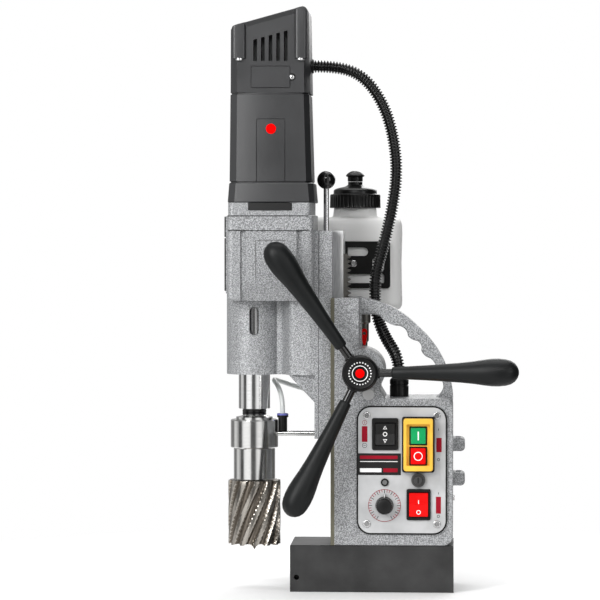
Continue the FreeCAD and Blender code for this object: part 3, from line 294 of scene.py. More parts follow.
def make_camera():
    data = bpy.data.cameras.new("camera")
    data.lens = LENS
    data.sensor_width = 36
    data.clip_start, data.clip_end = 0.05, 50
    camera = bpy.data.objects.new("camera", data)
    camera.location = CAMERA_PLACE
    camera.rotation_mode = "QUATERNION"
    camera.rotation_quaternion = CAMERA_AIM.to_track_quat("-Z", "Y")
    bpy.context.scene.collection.objects.link(camera)
    bpy.context.scene.camera = camera


def area_light(name, place, aim, width, height, power):
    data = bpy.data.lights.new(name, "AREA")
    data.shape = "RECTANGLE"
    data.size, data.size_y = width, height
    data.energy = power
    lamp = bpy.data.objects.new(name, data)
    lamp.location = place
    lamp.rotation_mode = "QUATERNION"
    lamp.rotation_quaternion = (Vector(aim) - Vector(place)).to_track_quat("-Z", "Y")
    bpy.context.scene.collection.objects.link(lamp)


def make_lights():
    centre = (-0.03, 0, 0.3)
    area_light("key_left", (-1.6, -1.9, 1.3), centre, 0.9, 1.6, 44)
    area_light("key_right", (1.7, -1.5, 0.9), centre, 0.35, 1.6, 9)
    area_light("front", (-0.2, -2.7, 1.9), centre, 1.2, 0.5, 18)
    area_light("top", (0, 0.3, 2.0), centre, 1.6, 1.2, 15)
    area_light("rim", (0.5, 1.8, 1.2), centre, 1.4, 1.0, 14)
    area_light("backdrop", (0, 0.9, 2.2), (0, 3.2, 0.9), 2.6, 0.8, 75)


# (degrees round from straight in front of the object, brightness)
STUDIO_BANDS = (
    (-180, 0.45), (-140, 0.40), (-124, 0.10), (-114, 0.45), (-102, 0.95), (-88, 0.65), (-80, 0.40),
    (-76, 0.07), (-60, 0.07), (-54, 1.15), (-35, 1.30), (-17, 1.20), (-13, 0.11), (9, 0.12), (15, 0.85),
    (26, 1.20), (41, 1.00), (46, 0.07), (122, 0.04), (136, 0.14), (154, 0.12), (180, 0.45))
FLOOR_RADIUS = 0.65
FADE_START, FADE_END = 0.25, 0.62
FLOOR_DROP = 0.0002


def make_world():
    """A studio whose walls, seen from the object, alternate in upright bands of light and dark.
    The bands show in bare metal; straight past the object the studio is plain white."""
    world = bpy.data.worlds.new("studio")
    bpy.context.scene.world = world
    world.use_nodes = True
    tree = world.node_tree
    place = tree.nodes.new("ShaderNodeTexCoord")
    split = tree.nodes.new("ShaderNodeSeparateXYZ")
    tree.links.new(place.outputs["Generated"], split.inputs[0])
    away = tree.nodes.new("ShaderNodeMath")
    away.operation = "MULTIPLY"
    away.inputs[1].default_value = -1
    tree.links.new(split.outputs["Y"], away.inputs[0])
    turn = tree.nodes.new("ShaderNodeMath")
    turn.operation = "ARCTAN2"
    tree.links.new(split.outputs["X"], turn.inputs[0])
    tree.links.new(away.outputs[0], turn.inputs[1])
    spread = tree.nodes.new("ShaderNodeMapRange")
    spread.inputs["From Min"].default_value = -math.pi
    spread.inputs["From Max"].default_value = math.pi
    tree.links.new(turn.outputs[0], spread.inputs["Value"])
    ramp = tree.nodes.new("ShaderNodeValToRGB")
    while len(ramp.color_ramp.elements) < len(STUDIO_BANDS):
        ramp.color_ramp.elements.new(0.5)
    for element, (degrees, value) in zip(ramp.color_ramp.elements, STUDIO_BANDS):
        element.position = (degrees + 180) / 360
        element.color = (*grey(value), 1)
    tree.links.new(spread.outputs["Result"], ramp.inputs["Fac"])
    banded = tree.nodes["Background"]
    tree.links.new(ramp.outputs["Color"], banded.inputs["Color"])
    plain = tree.nodes.new("ShaderNodeBackground")
    plain.inputs["Color"].default_value = (1, 1, 1, 1)
    ray = tree.nodes.new("ShaderNodeLightPath")
    mix = tree.nodes.new("ShaderNodeMixShader")
    tree.links.new(ray.outputs["Is Camera Ray"], mix.inputs["Fac"])
    tree.links.new(banded.outputs[0], mix.inputs[1])
    tree.links.new(plain.outputs[0], mix.inputs[2])
    tree.links.new(mix.outputs[0], tree.nodes["World Output"].inputs["Surface"])


def make_floor():
    """A pale round floor whose rim fades out into the white studio."""
    floor = Paint("floor_pale", grey(0.90), 0.8)
    cloud = floor.noise(0.6)
    floor.colour_from(cloud, (0.3, grey(0.89)), (0.7, grey(0.92)))
    tree = floor.tree
    away = tree.nodes.new("ShaderNodeVectorMath")
    away.operation = "LENGTH"
    floor.link(floor.place, away.inputs[0])
    fade = tree.nodes.new("ShaderNodeMapRange")
    fade.inputs["From Min"].default_value = FADE_START
    fade.inputs["From Max"].default_value = FADE_END
    floor.link(away.outputs["Value"], fade.inputs["Value"])
    clear = tree.nodes.new("ShaderNodeBsdfTransparent")
    mix = tree.nodes.new("ShaderNodeMixShader")
    floor.link(fade.outputs["Result"], mix.inputs["Fac"])
    floor.link(floor.shader.outputs[0], mix.inputs[1])
    floor.link(clear.outputs[0], mix.inputs[2])
    floor.link(mix.outputs[0], tree.nodes["Material Output"].inputs["Surface"])
    mesh = bpy.data.meshes.new("floor")
    rim = [(*point, -FLOOR_DROP) for point in disc((0, 0), FLOOR_RADIUS, 64)]
    mesh.from_pydata(rim, [], [tuple(range(len(rim)))])
    mesh.materials.append(floor.material)
    ground = bpy.data.objects.new("floor", mesh)
    bpy.context.scene.collection.objects.link(ground)


# ---- Mesh helpers: every outline and length below is in millimetres ----

FRONT = Matrix.Rotation(math.radians(90), 4, "X")
SHARP = math.radians(32)


class Form:
    """A mesh under construction."""

    def __init__(self):
        self.mesh = bmesh.new()

    def ring(self, points):
        return [self.mesh.verts.new(Vector(point) * MM) for point in points]

    def skin(self, rings, closed=False):
        """Joins rings of equal length with quads."""
        pairs = list(zip(rings, rings[1:]))
        if closed:
            pairs.append((rings[-1], rings[0]))
        for low, high in pairs:
            for here in range(len(low)):
                there = (here + 1) % len(low)
                self.mesh.faces.new((low[here], low[there], high[there], high[here]))

    def lids(self, rings):
        self.mesh.faces.new(rings[0])
        self.mesh.faces.new(rings[-1])

    def loft(self, sections, closed=False):
        """A solid through sections; closed, it returns to the first one and has no lids."""
        rings = [self.ring(section) for section in sections]
        self.skin(rings, closed)
        if not closed:
            self.lids(rings)

    def prism(self, outline, low, high, place=Matrix()):
        self.loft([[place @ Vector((x, y, z)) for x, y in outline] for z in (low, high)])

    def band(self, outer, inner, low, high, place=Matrix()):
        """A prism of the strip between two outlines of equal length."""
        corners = ((outer, low), (outer, high), (inner, high), (inner, low))
        self.loft([[place @ Vector((x, y, z)) for x, y in line] for line, z in corners], True)

    def lathe(self, profile, place=Matrix(), steps=64, closed=False):
        """A turned solid about Z through (radius, station) corners."""
        self.loft([circle(radius, station, steps, place) for radius, station in profile], closed)

    def done(self, name, slot, body, replaces=(), paint=(), bevel=0.0, sharp=SHARP):
        """Finishes the piece; bevel is a rounding of its sharp edges."""
        bmesh.ops.recalc_face_normals(self.mesh, faces=self.mesh.faces)
        for face in self.mesh.faces:
            face.smooth = True
        for edge in self.mesh.edges:
            if len(edge.link_faces) == 2 and edge.calc_face_angle(0) > sharp:
                edge.smooth = False
        mesh = bpy.data.meshes.new(name)
        self.mesh.to_mesh(mesh)
        self.mesh.free()
        for material in paint or (slot,):
            mesh.materials.append(MATERIALS[material])
        piece = bpy.data.objects.new(name, mesh)
        bpy.context.scene.collection.objects.link(piece)
        if bevel:
            rounding = piece.modifiers.new("rounding", "BEVEL")
            rounding.width = bevel * MM
            rounding.segments = 2
            rounding.limit_method = "ANGLE"
            rounding.angle_limit = SHARP
            rounding.harden_normals = True
        if body:
            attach(piece, body)
        if replaces:
            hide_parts(*replaces)
        return piece


def turn_steps(steps):
    return [2 * math.pi * step / steps for step in range(steps)]


def circle(radius, height, steps, place=Matrix()):
    return [place @ Vector((radius * math.cos(a), radius * math.sin(a), height)) for a in turn_steps(steps)]


def carve(form, *cutters):
    """Cuts other forms out of a form."""
    scene = bpy.context.scene.collection
    blocks = []
    for part in (form, *cutters):
        bmesh.ops.recalc_face_normals(part.mesh, faces=part.mesh.faces)
        mesh = bpy.data.meshes.new("block")
        part.mesh.to_mesh(mesh)
        part.mesh.free()
        block = bpy.data.objects.new("block", mesh)
        scene.objects.link(block)
        blocks.append(block)
    for block in blocks[1:]:
        cut = blocks[0].modifiers.new("cut", "BOOLEAN")
        cut.object = block
        cut.solver = "EXACT"
    bpy.context.view_layer.update()
    graph = bpy.context.evaluated_depsgraph_get()
    result = bpy.data.meshes.new_from_object(blocks[0].evaluated_get(graph))
    form.mesh = bmesh.new()
    form.mesh.from_mesh(result)
    bmesh.ops.remove_doubles(form.mesh, verts=form.mesh.verts, dist=0.01 * MM)
    for block in blocks:
        mesh = block.data
        bpy.data.objects.remove(block)
        bpy.data.meshes.remove(mesh)
    bpy.data.meshes.remove(result)


def rounded(left, right, low, high, radius, steps=6):
    """A rectangle with round corners."""
    points = []
    corners = ((right - radius, high - radius, 0), (left + radius, high - radius, 90),
               (left + radius, low + radius, 180), (right - radius, low + radius, 270))
    for x, y, first in corners:
        for step in range(steps + 1):
            angle = math.radians(first + 90 * step / steps)
            points.append((x + radius * math.cos(angle), y + radius * math.sin(angle)))
    return points


def around(centre, width, height, radius=0.5, steps=4):
    x, y = centre
    return rounded(x - width / 2, x + width / 2, y - height / 2, y + height / 2, radius, steps)


def disc(centre, radius, steps=40):
    return [(centre[0] + radius * math.cos(a), centre[1] + radius * math.sin(a)) for a in turn_steps(steps)]


def at(x, y, z):
    return Matrix.Translation((x, y, z))


def box_mm(node):
    low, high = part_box(node)
    return low / MM, high / MM


def front_of(node):
    """How far a node reaches towards the front."""
    return -box_mm(node)[0].y


def middle_of(node):
    """The middle of a node's front view."""
    low, high = box_mm(node)
    return (low.x + high.x) / 2, (low.z + high.z) / 2


def facing(centre):
    """A frame on a point of the front view, its Z towards the front."""
    return at(centre[0], 0, centre[1]) @ FRONT


# ---- Motor ----

SPINDLE_X = -123.5
BEVEL_LEFT, BEVEL_RIGHT, BEVEL_Y = 7.4, 5.4, 11


def bevelled(left, right, half, bow):
    """A plan with bevelled corners whose front and back bow out in the middle."""
    start, end = left + BEVEL_LEFT, right - BEVEL_RIGHT
    across = [(start + (end - start) * step / 10, half - bow * (step / 5 - 1) ** 2) for step in range(11)]
    return ([(x, -y) for x, y in across] + [(right, -half + BEVEL_Y), (right, half - BEVEL_Y)]
            + across[::-1] + [(left, half - BEVEL_Y), (left, -half + BEVEL_Y)])


def shell_loft(form, stations, bow=3.2):
    """A loft of bevelled plans; a station is (height, left, right, half)."""
    form.loft([[(x, y, z) for x, y in bevelled(left, right, half, bow)] for z, left, right, half in stations])


def make_motor():
    flange_low, flange_high = box_mm("motor_flange")
    base, top = flange_low.z, flange_high.z
    left, right, half = flange_low.x, flange_high.x, flange_high.y - 1
    flange = Form()
    shell_loft(flange, [
        (base, left + 0.8, right - 0.8, half - 0.8), (base + 0.8, left, right, half),
        (top - 1, left + 1.4, right - 1.6, half - 1.2), (top, left + 2.2, right - 2.4, half - 2)])
    flange.done("motor_flange_shell", "motor_plastic", "carriage", ["motor_flange"], bevel=0.8)

    housing_low, housing_high = box_mm("motor_housing")
    seam = housing_high.z
    left, right, half = housing_low.x, housing_high.x, 43.8
    shell = Form()
    shell_loft(shell, [
        (top, left + 1.2, right - 1.2, half - 1.2), (top + 1, left + 1.2, right - 1.2, half - 1.2),
        (top + 1.4, left, right, half), (seam - 1.8, left + 0.9, right - 2.6, half - 1.3),
        (seam - 1.4, left + 2.2, right - 3.8, half - 2.5), (seam, left + 2.2, right - 3.8, half - 2.5)])
    label_left, label_right, label_top, groove_floor = -118.2, -89.2, 485.4, 41.6
    groove = Form()
    groove.band(rounded(label_left - 0.5, label_right + 0.5, top - 5, label_top + 0.5, 1.2),
                rounded(label_left + 0.3, label_right - 0.3, top - 5.8, label_top - 0.3, 0.8),
                groove_floor, half + 4.2, FRONT)
    carve(shell, groove)
    shell.done("motor_shell", "motor_plastic", "carriage", ["motor_housing"], bevel=0.5)
    mark_centre, mark_radius = (-103.4, 475.4), 5.2
    mark = Form()
    mark.prism(disc(mark_centre, mark_radius), 42.2, 43.45, FRONT)
    mark.done("motor_mark", "motor_plastic", "carriage", paint=["mark_red"])


def make_motor_cap():
    seam = box_mm("motor_housing")[1].z
    cap_low, cap_high = box_mm("motor_cap")
    left, right = cap_low.x + 0.2, cap_high.x - 0.1
    face, proud = 41.0, 44.2
    past = face + 5
    cap = Form()
    shell_loft(cap, [(seam, left, right, face), (608, left + 0.4, right - 1.9, face)], bow=0)
    above = Form()
    roof = [(-160, 564), (-146.4, 574.4), (-145.7, 577.3), (-144.3, 579.5), (-142, 581), (-138.6, 582.3),
            (-73.4, 600.1), (-70.6, 600.6), (-68.2, 599.8), (-66.4, 597.8), (-65.4, 594.6), (-50, 586),
            (-50, 620), (-160, 620)]
    above.prism(roof, -60, 60, FRONT)
    slots = Form()
    for slot in range(5):
        x, tip = -121.6 + 7.85 * slot, 566.6 + 2.1 * slot
        slots.prism([(x, 545), (x + 3.8, 545), (x + 3.8, tip + 1.1), (x, tip)], face - 13, past, FRONT)
    hatch = Form()
    hatch.prism(rounded(-124.1, -83.5, 517.2, 539.9, 1.4), face - 1.3, past, FRONT)
    latch = (-81.9, 528.3)
    notch = Form()
    notch.prism(disc(latch, 3.8), face - 3, past, FRONT)
    carve(cap, above, slots, hatch, notch)
    cap.done("motor_cap_shell", "motor_plastic", "carriage", ["motor_cap"], bevel=0.5)

    for number, (start, end) in enumerate(((-143.6, -129.2), (-79.4, -66.4))):
        pillar = Form()
        pillar.prism(rounded(start, end, -proud, -face + 6, 3.6), 547.3, 612)
        over = Form()
        over.prism(roof, -60, 60, FRONT)
        carve(pillar, over)
        pillar.done(f"motor_cap_pillar_{number + 1}", "motor_plastic", "carriage", bevel=0.5)
    brow = Form()
    start, end = Vector((-131, 0, 584.1)), Vector((-76, 0, 599.1))
    lines = [[(point.x, y, point.z - drop) for point in (start, end)] for y, drop in
             ((-face + 2, 4.8), (-face - 0.05, 4.8), (-proud + 0.4, 0.6), (-proud + 0.4, 0), (-face + 2, 0))]
    brow.loft([[line[0] for line in lines], [line[1] for line in lines]])
    brow.done("motor_cap_brow", "motor_plastic", "carriage")

    door = Form()
    door.prism(rounded(-123.6, -84, 517.7, 539.4, 1.1), face - 1.2, face + 0.2, FRONT)
    door.done("cable_hatch", "motor_plastic", "carriage", ["cable_door"], bevel=0.35)
    screws = Form()
    for x in (-136, -73):
        screws.lathe([(1.2, 545.4), (3.6, 545.5), (3.9, 545.9), (3.9, 547.6)], at(x, -face - 0.1, 0), 32)
    screws.lathe([(2.7, 0), (2.7, 1.6), (2.2, 2.4), (1.2, 2.8), (1.2, 1.9)],
                 at(latch[0], -face + 2.9, latch[1]) @ FRONT, 32)
    # the screw that holds the bottle's bracket
    bracket_front = box_mm("bottle")[0].y - 3
    screws.lathe([(3.6, -0.2), (3.6, 1.4), (2.8, 2.3), (1.5, 2.3), (1.3, 1.4)],
                 at(-21.7, bracket_front, 336.4) @ FRONT, 32)
    screws.done("machine_screws", "screw_steel", "carriage", ["carriage_screws"])


# ---- Painted shade on the gearbox ----

def make_gearbox_painted_shade():
    """Painted shade on the gearbox: a near-black sheet in the mouth of the cover's recess stands for the
    shade inside it, thin dark lines along the joints stand for the shade in the seams, and thin dark lines
    round the label area stand for the shade on the edges of its shallow recess.
    """
    low, high = box_mm("gearbox_cover")
    front = -low.y
    left, right = -126.4, -81.6
    bowed = [(left + (right - left) * step / 12, -front + 0.6 + 1.2 * (step / 6 - 1) ** 2)
             for step in range(13)]
    # painted shade: a near-black sheet in the mouth of the cover's recess stands for the shade inside it
    neck = Form()
    neck.prism(bowed + [(right, -front + 2.1), (left, -front + 2.1)], high.z - 7.8, high.z - 0.2)
    neck.done("cover_recess_shade", "motor_plastic", "carriage", paint=["recess_shade_black"])
    face = front_of("gearbox_housing")
    quill_left, quill_right = -129, -76.7
    # painted shade: thin dark lines along the joints stand for the shade in the seams between housing and
    # cover
    lines = Form()
    for left, right, height, depth in (
            (low.x + 5, high.x - 5, low.z + 14.6, front), (low.x + 5, quill_left, low.z, front),
            (quill_right, high.x - 5, low.z, front), (quill_left, quill_right, low.z - 0.5, face)):
        outline = rounded(left, right, height - 0.5, height + 0.5, 0.2, 2)
        lines.prism(outline, depth - 0.4, depth + 0.08, FRONT)
    lines.done("gearbox_seam_shade_lines", "hammered_silver", "carriage", paint=["seam_shade_grey"])
    # painted shade: thin dark lines on the left, right and top of the label area stand for the shade on the
    # edges of its shallow recess
    label_edge_lines = Form()
    for left, right, bottom, top in (
            (-118.9, -118.3, 320.5, 361.5), (-89.5, -88.9, 320.5, 361.5), (-118.9, -88.9, 360.9, 361.5)):
        label_edge_lines.prism(rounded(left, right, bottom, top, 0.1, 2), face - 0.8, face - 0.3, FRONT)
    label_edge_lines.done("label_edge_shade", "hammered_silver", "carriage", paint=["recess_edge_shade_grey"])


def make_arbor_seal():
    """The dark ribbed neck between the spindle and the coolant ring."""
    seal = Form()
    seal.lathe([(11.7, 179.8), (12.3, 179.9), (12.5, 181.6), (11.95, 182.2), (12.5, 182.8), (12.5, 184.4),
                (11.95, 185), (12.3, 185.6), (12.3, 186.2), (11.7, 186.25)], at(SPINDLE_X, 0, 0), 64, True)
    seal.done("arbor_seal", "turned_steel", "spindle", paint=["gloss_black"])


# ---- Conduit and hose ----

CONDUIT_ROUTE = [
    (-61.5, 0, 541.6), (-35.5, 0, 541.6), (-9, 1, 531), (11, 4, 503), (21.5, 8, 468), (25, 12, 430),
    (19, 16, 390), (9.5, 19, 352), (2.2, 20.5, 326), (1.5, 20.6, 305), (2.5, 20, 285), (11.5, 13.5, 261),
    (27.3, 2, 238), (27.3, 2, 218)]
HOSE_ROUTE = [
    (-93.95, 0, 180.6), (-93.95, 0, 195), (-99, 10, 209), (-106, 30, 215), (-102, 50, 213),
    (-84, 59, 206), (-61, 60, 200), (-39, 62, 200), (-22, 67, 209), (-12.5, 77, 221), (-11.3, 81.75, 234),
    (-11.3, 81.75, 246)]


def spline_points(route, step):
    """Evenly spaced points, in metres, along the smooth line of a route."""
    data = bpy.data.curves.new("route", "CURVE")
    data.dimensions = "3D"
    spline = data.splines.new("NURBS")
    spline.points.add(len(route) - 1)
    for point, place in zip(spline.points, route):
        point.co = (*(Vector(place) * MM), 1)
    spline.order_u = 3
    spline.use_endpoint_u = True
    spline.resolution_u = 24
    curve = bpy.data.objects.new("route", data)
    line = bpy.data.meshes.new_from_object(curve)
    raw = [vertex.co.copy() for vertex in line.vertices]
    bpy.data.objects.remove(curve)
    bpy.data.curves.remove(data)
    bpy.data.meshes.remove(line)
    lengths = [0.0]
    for before, after in zip(raw, raw[1:]):
        lengths.append(lengths[-1] + (after - before).length)
    count = max(2, round(lengths[-1] / (step * MM)))
    points, here = [], 0
    for number in range(count + 1):
        target = lengths[-1] * number / count
        while here < len(lengths) - 2 and lengths[here + 1] < target:
            here += 1
        share = (target - lengths[here]) / (lengths[here + 1] - lengths[here])
        points.append(raw[here].lerp(raw[here + 1], min(max(share, 0), 1)))
    return points, lengths[-1]


def tube_rings(form, points, radii, sides):
    """Rings of the given radii, in millimetres, square to a line of points."""
    rings = []
    side = None
    for number, point in enumerate(points):
        ahead = points[min(number + 1, len(points) - 1)] - points[max(number - 1, 0)]
        ahead.normalize()
        if side is None:
            side = ahead.orthogonal().normalized()
        side = (side - ahead * side.dot(ahead)).normalized()
        up = ahead.cross(side)
        radius = radii[number]
        rings.append(form.ring([point / MM + (side * math.cos(a) + up * math.sin(a)) * radius
                                for a in turn_steps(sides)]))
    return rings


def make_conduit():
    """Corrugated conduit: square-shouldered ribs with narrower valleys."""
    pitch, crest, valley = 3.1, 6.5, 4.5
    shape = (valley, valley, crest - 0.3, crest, crest - 0.3)
    points, length = spline_points(CONDUIT_ROUTE, pitch / len(shape))
    radii = [shape[number % len(shape)] for number in range(len(points))]
    form = Form()
    rings = tube_rings(form, points, radii, 28)
    form.skin(rings)
    form.lids(rings)
    conduit = form.done("conduit_ribbed", "conduit_black", None, ["conduit"], sharp=math.radians(50))
    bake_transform(conduit)


def make_hose():
    points, length = spline_points(HOSE_ROUTE, 1.5)
    form = Form()
    outer = tube_rings(form, points, [2.5] * len(points), 20)
    inner = tube_rings(form, points, [1.6] * len(points), 20)
    form.skin(outer + inner[::-1], True)
    hose = form.done("hose_clear_tube", "hose_clear", "carriage", ["coolant_hose"])
    ring = Form()
    ring.lathe([(3.0, 178.6), (5.5, 178.6), (5.95, 179.2), (5.95, 180.4), (5.4, 181), (3.0, 181)],
               at(HOSE_ROUTE[0][0], 0, 0), 40, True)
    ring.done("hose_release_ring", "gland_black", "carriage", paint=["release_violet"])


# ---- Annular cutter ----

def make_cutter():
    low, high = box_mm("annular_cutter")
    bottom, shoulder = low.z, 112.0
    outer, core, bore, teeth = 27.2, 24.0, 21.0, 12
    flute_depth, relief = outer - core, 0.5
    # where each surface ends, as a share of one tooth's turn
    land, margin, foot, heel = 0.42, 0.46, 0.52, 0.90
    twist = math.radians(66)
    around_steps, levels = teeth * 14, 44

    def share_at(angle, height):
        turn = angle - twist * (height - bottom) / (shoulder - bottom)
        return (turn * teeth / (2 * math.pi)) % 1.0

    def radius_at(share):
        if share < land:
            return outer
        if share < margin:
            return outer - relief
        if share < foot:
            return outer - relief - (flute_depth - relief) * (share - margin) / (foot - margin)
        if share < heel:
            return outer - flute_depth + relief * math.sin(math.pi * (share - foot) / (heel - foot))
        return outer - flute_depth * (1 - (share - heel) / (1 - heel))

    def drawn_in(point, inset, height):
        reach = math.hypot(point[0], point[1])
        return point[0] * (reach - inset) / reach, point[1] * (reach - inset) / reach, height

    heights = [bottom + (shoulder - 3 - bottom) * (step / levels) for step in range(levels + 1)]
    rings = []
    for number, height in enumerate(heights):
        points = []
        for angle in turn_steps(around_steps):
            share = share_at(angle, height)
            radius = radius_at(share)
            lift = 0.0
            if number == 0:
                gullet = max(0.0, math.sin(math.pi * min(max((share - 0.30) / 0.62, 0), 1)))
                lift = 3.6 * gullet ** 1.5
            points.append((radius * math.cos(angle), radius * math.sin(angle), height + lift))
        rings.append(points)
    for inset, height in ((0.3, shoulder - 0.4), (3.2, shoulder - 0.05)):
        rings.append([drawn_in(point, inset, height) for point in rings[levels]])
    rings.append([(x, y, shoulder) for x, y in disc((0, 0), 12, around_steps)])
    inside = disc((0, 0), bore, around_steps)
    bore_foot = [(x, y, z + 0.5) for (x, y), (_, _, z) in zip(inside, rings[0])]
    ceiling = [(x, y, shoulder - 12) for x, y in inside]
    form = Form()
    skins = [form.ring([(x + SPINDLE_X, y, z) for x, y, z in ring]) for ring in [ceiling, bore_foot] + rings]
    form.skin(skins)
    form.lids(skins)
    for face in form.mesh.faces:
        centre = face.calc_center_median() / MM
        if len(face.verts) != 4 or math.hypot(centre.x - SPINDLE_X, centre.y) < bore + 0.2:
            continue
        angle = math.atan2(centre.y, centre.x - SPINDLE_X)
        share = share_at(angle, centre.z)
        face.material_index = 0 if share < margin or share > 0.96 else 1
    form.lathe([(9.4, shoulder - 0.5), (9.4, shoulder + 22), (8.6, high.z)], at(SPINDLE_X, 0, 0), 48)
    form.done("cutter_fluted", "cutter_steel", "spindle", ["annular_cutter"],
              paint=["cutter_steel", "cutter_flute"], sharp=math.radians(28))


# ---- Feed handle ----

SPOKE_ANGLES = (0.8, 124.9, 243.6)
SPOKE_TILT = math.radians(8)
HUB_CENTRE = Vector((-11.1, -62, 226))
# (distance from the hub's centre, radius)
GRIP_PROFILE = [
    (33, 4.4), (33, 5.4), (33.6, 6.0), (35, 6.3), (50.5, 6.8), (68, 7.7), (86, 8.9), (104, 10.2),
    (117, 11.6), (127, 13.1), (135, 14), (142, 14.1), (149, 13.4), (154, 12), (158, 9.4), (160.6, 6),
    (162, 2.4), (162.2, 0.2)]
# (radius, distance behind the hub's front)
HUB_PROFILE = [
    (15.2, 27), (15.5, 26.6), (15.5, 23.4), (16.2, 22.4), (18.2, 19.6), (18.5, 18.8), (18.5, 3.4),
    (18.1, 2.2), (17.2, 1.2), (16.4, 0.5), (15.6, 0.4), (15.1, 1.6), (14.7, 1.8), (1, 1.8)]


def spoke_place(degrees):
    """A frame at the hub's centre whose Z runs out along a spoke."""
    turn = math.radians(degrees)
    direction = Vector((math.cos(turn) * math.cos(SPOKE_TILT), -math.sin(SPOKE_TILT),
                        math.sin(turn) * math.cos(SPOKE_TILT)))
    return Matrix.Translation(HUB_CENTRE) @ direction.to_track_quat("Z", "Y").to_matrix().to_4x4()


def make_handle():
    for number, degrees in enumerate(SPOKE_ANGLES):
        grip = Form()
        grip.lathe([(radius, along) for along, radius in GRIP_PROFILE], spoke_place(degrees), 48)
        piece = grip.done(f"grip_{number + 1}", "grip_black", "capstan", sharp=math.radians(50))
        if number == 0:
            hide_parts("grips")
    hub_front = front_of("capstan_hub")
    axis = facing((HUB_CENTRE.x, HUB_CENTRE.z))
    hub = Form()
    hub.lathe([(radius, hub_front - behind) for radius, behind in HUB_PROFILE], axis, 96)
    for degrees in SPOKE_ANGLES:
        hub.lathe([(5.6, 14), (5.6, 19.6), (5.2, 20.2), (4.3, 20.2)], spoke_place(degrees), 32)
    hub.done("hub_turned", "hub_black", "capstan", ["capstan_hub"])
    rings = Form()
    face = hub_front - 1.85
    rings.band(disc((0, 0), 8.2, 64), disc((0, 0), 7.4, 64), face, face + 0.2, axis)
    for spot in disc((0, 0), 11.2, 24):
        rings.prism(disc(spot, 0.75, 12), face, face + 0.2, axis)
    rings.done("hub_ring_marks", "hub_black", "capstan", paint=["print_white"])
    dot = Form()
    dot.lathe([(4.6, face), (4.6, face + 0.25), (4.2, face + 0.5), (0.5, face + 0.8)], axis, 48)
    dot.done("hub_centre_dot", "hub_black", "capstan", paint=["mark_red"])


# ---- Coolant bottle ----

def make_bottle():
    low, high = box_mm("bottle")
    neck_x, neck_y = -21.3, (low.y + high.y) / 2
    shoulder = 385.2

    def section(height, inset, corner):
        outline = rounded(low.x + inset, high.x - inset, low.y + inset, high.y - inset, corner, 8)
        return [(x, y, height) for x, y in outline]

    def neck_ring(height, radius):
        """A circle whose points start where the rounded outline's do."""
        outline = rounded(low.x, high.x, low.y, high.y, 15, 8)
        middle = ((low.x + high.x) / 2, (low.y + high.y) / 2)
        points = []
        for x, y in outline:
            angle = math.atan2((y - middle[1]) / (high.y - low.y), (x - middle[0]) / (high.x - low.x))
            points.append((neck_x + radius * math.cos(angle), neck_y + radius * math.sin(angle), height))
        return points

    sections = [section(low.z + up, inset, corner) for up, inset, corner in (
        (1.2, 7, 12), (0, 5, 12), (0.8, 2, 14), (4, 0.3, 15), (9, 0, 15.5), (30, 0.6, 16), (50, 0.8, 16),
        (80, 0, 16))]
    sections += [section(shoulder - down, inset, 16) for down, inset in (
        (8, 0.2), (3.6, 1.2), (1, 3.6), (0, 7))]
    sections += [neck_ring(shoulder + up, radius) for up, radius in (
        (0.4, 27.0), (2.5, 25.7), (9.6, 24.8), (10, 24.2), (10.3, 22), (18, 22))]
    body = Form()
    body.loft(sections)
    body.done("bottle_blown", "bottle_plastic", "carriage", ["bottle"], sharp=math.radians(60))

    axis = at(neck_x, neck_y, shoulder)
    cap = Form()
    ribs, rows = 44, []
    for height, base, depth in (
            (10.1, 25.9, 0.1), (10.6, 27.0, 0.3), (12.2, 26.3, 0.7), (20.5, 26.0, 0.8), (23.0, 26.7, 0.2),
            (24.4, 26.5, 0.05), (24.8, 25.8, 0.0)):
        ring = []
        for angle in turn_steps(ribs * 6):
            wave = 0.5 + 0.5 * math.cos(angle * ribs)
            radius = base + depth * wave ** 2
            ring.append(axis @ Vector((radius * math.cos(angle), radius * math.sin(angle), height)))
        rows.append(ring)
    for radius, height in (
            (23.6, 25.0), (23.2, 25.4), (23.0, 28.6), (22.4, 29.6), (20.8, 30.6), (17.4, 31.6), (12, 32.8),
            (9.6, 33.6), (8.6, 34.4), (7.7, 35), (7.7, 38), (4, 38)):
        rows.append(circle(radius, height, ribs * 6, axis))
    cap.loft(rows)
    cap.done("bottle_cap_ribbed", "gland_black", "bottle_cap", ["bottle_cap"], sharp=math.radians(40))
    spout = Form()
    spout.lathe([(7.4, 38.4), (7.4, 43.2), (9.2, 43.6), (9.9, 44.3), (9.9, 45), (8.6, 46.6), (7, 47.9),
                 (4.8, 49.1), (2.4, 49.75), (1.2, 49.8)], axis, 64)
    for angle in turn_steps(10):
        place = axis @ Matrix.Rotation(angle, 4, "Z")
        spout.prism(rounded(7.2, 8.0, -0.7, 0.7, 0.35, 3), 38.6, 43.8, place)
    spout.done("spout_pull", "gland_black", "bottle_spout", ["bottle_spout"])


# ---- Control panel ----

PANEL_Y = 44.0
DIRECTION_SWITCH = (13.8, 162.8)
STATION = (47.8, 152.3)
MAGNET_SWITCH = (48.1, 90.6)
DIAL = (13.2, 89.5)
START_HEIGHT, STOP_HEIGHT = 161.4, 140.8
ROCKER_MIDDLE, ROCKER_RIM = 46.2, 48.8
PRINT = 0.12


def flat_print(name, colour, shapes, depth=PANEL_Y, body="stand", slot="panel_grey"):
    """A thin print on a face at the given depth; a shape is an outline or a pair of outlines."""
    form = Form()
    for shape in shapes:
        if isinstance(shape[0][0], (int, float)):
            form.prism(shape, depth - 0.2, depth + PRINT, FRONT)
        else:
            form.band(*shape, depth - 0.2, depth + PRINT, FRONT)
    return form.done(name, slot, body, paint=[colour])


def ring_of(centre, outer, inner, steps=40):
    return disc(centre, outer, steps), disc(centre, inner, steps)


def bar(centre, width, height):
    return around(centre, width, height, min(width, height) * 0.2, 2)


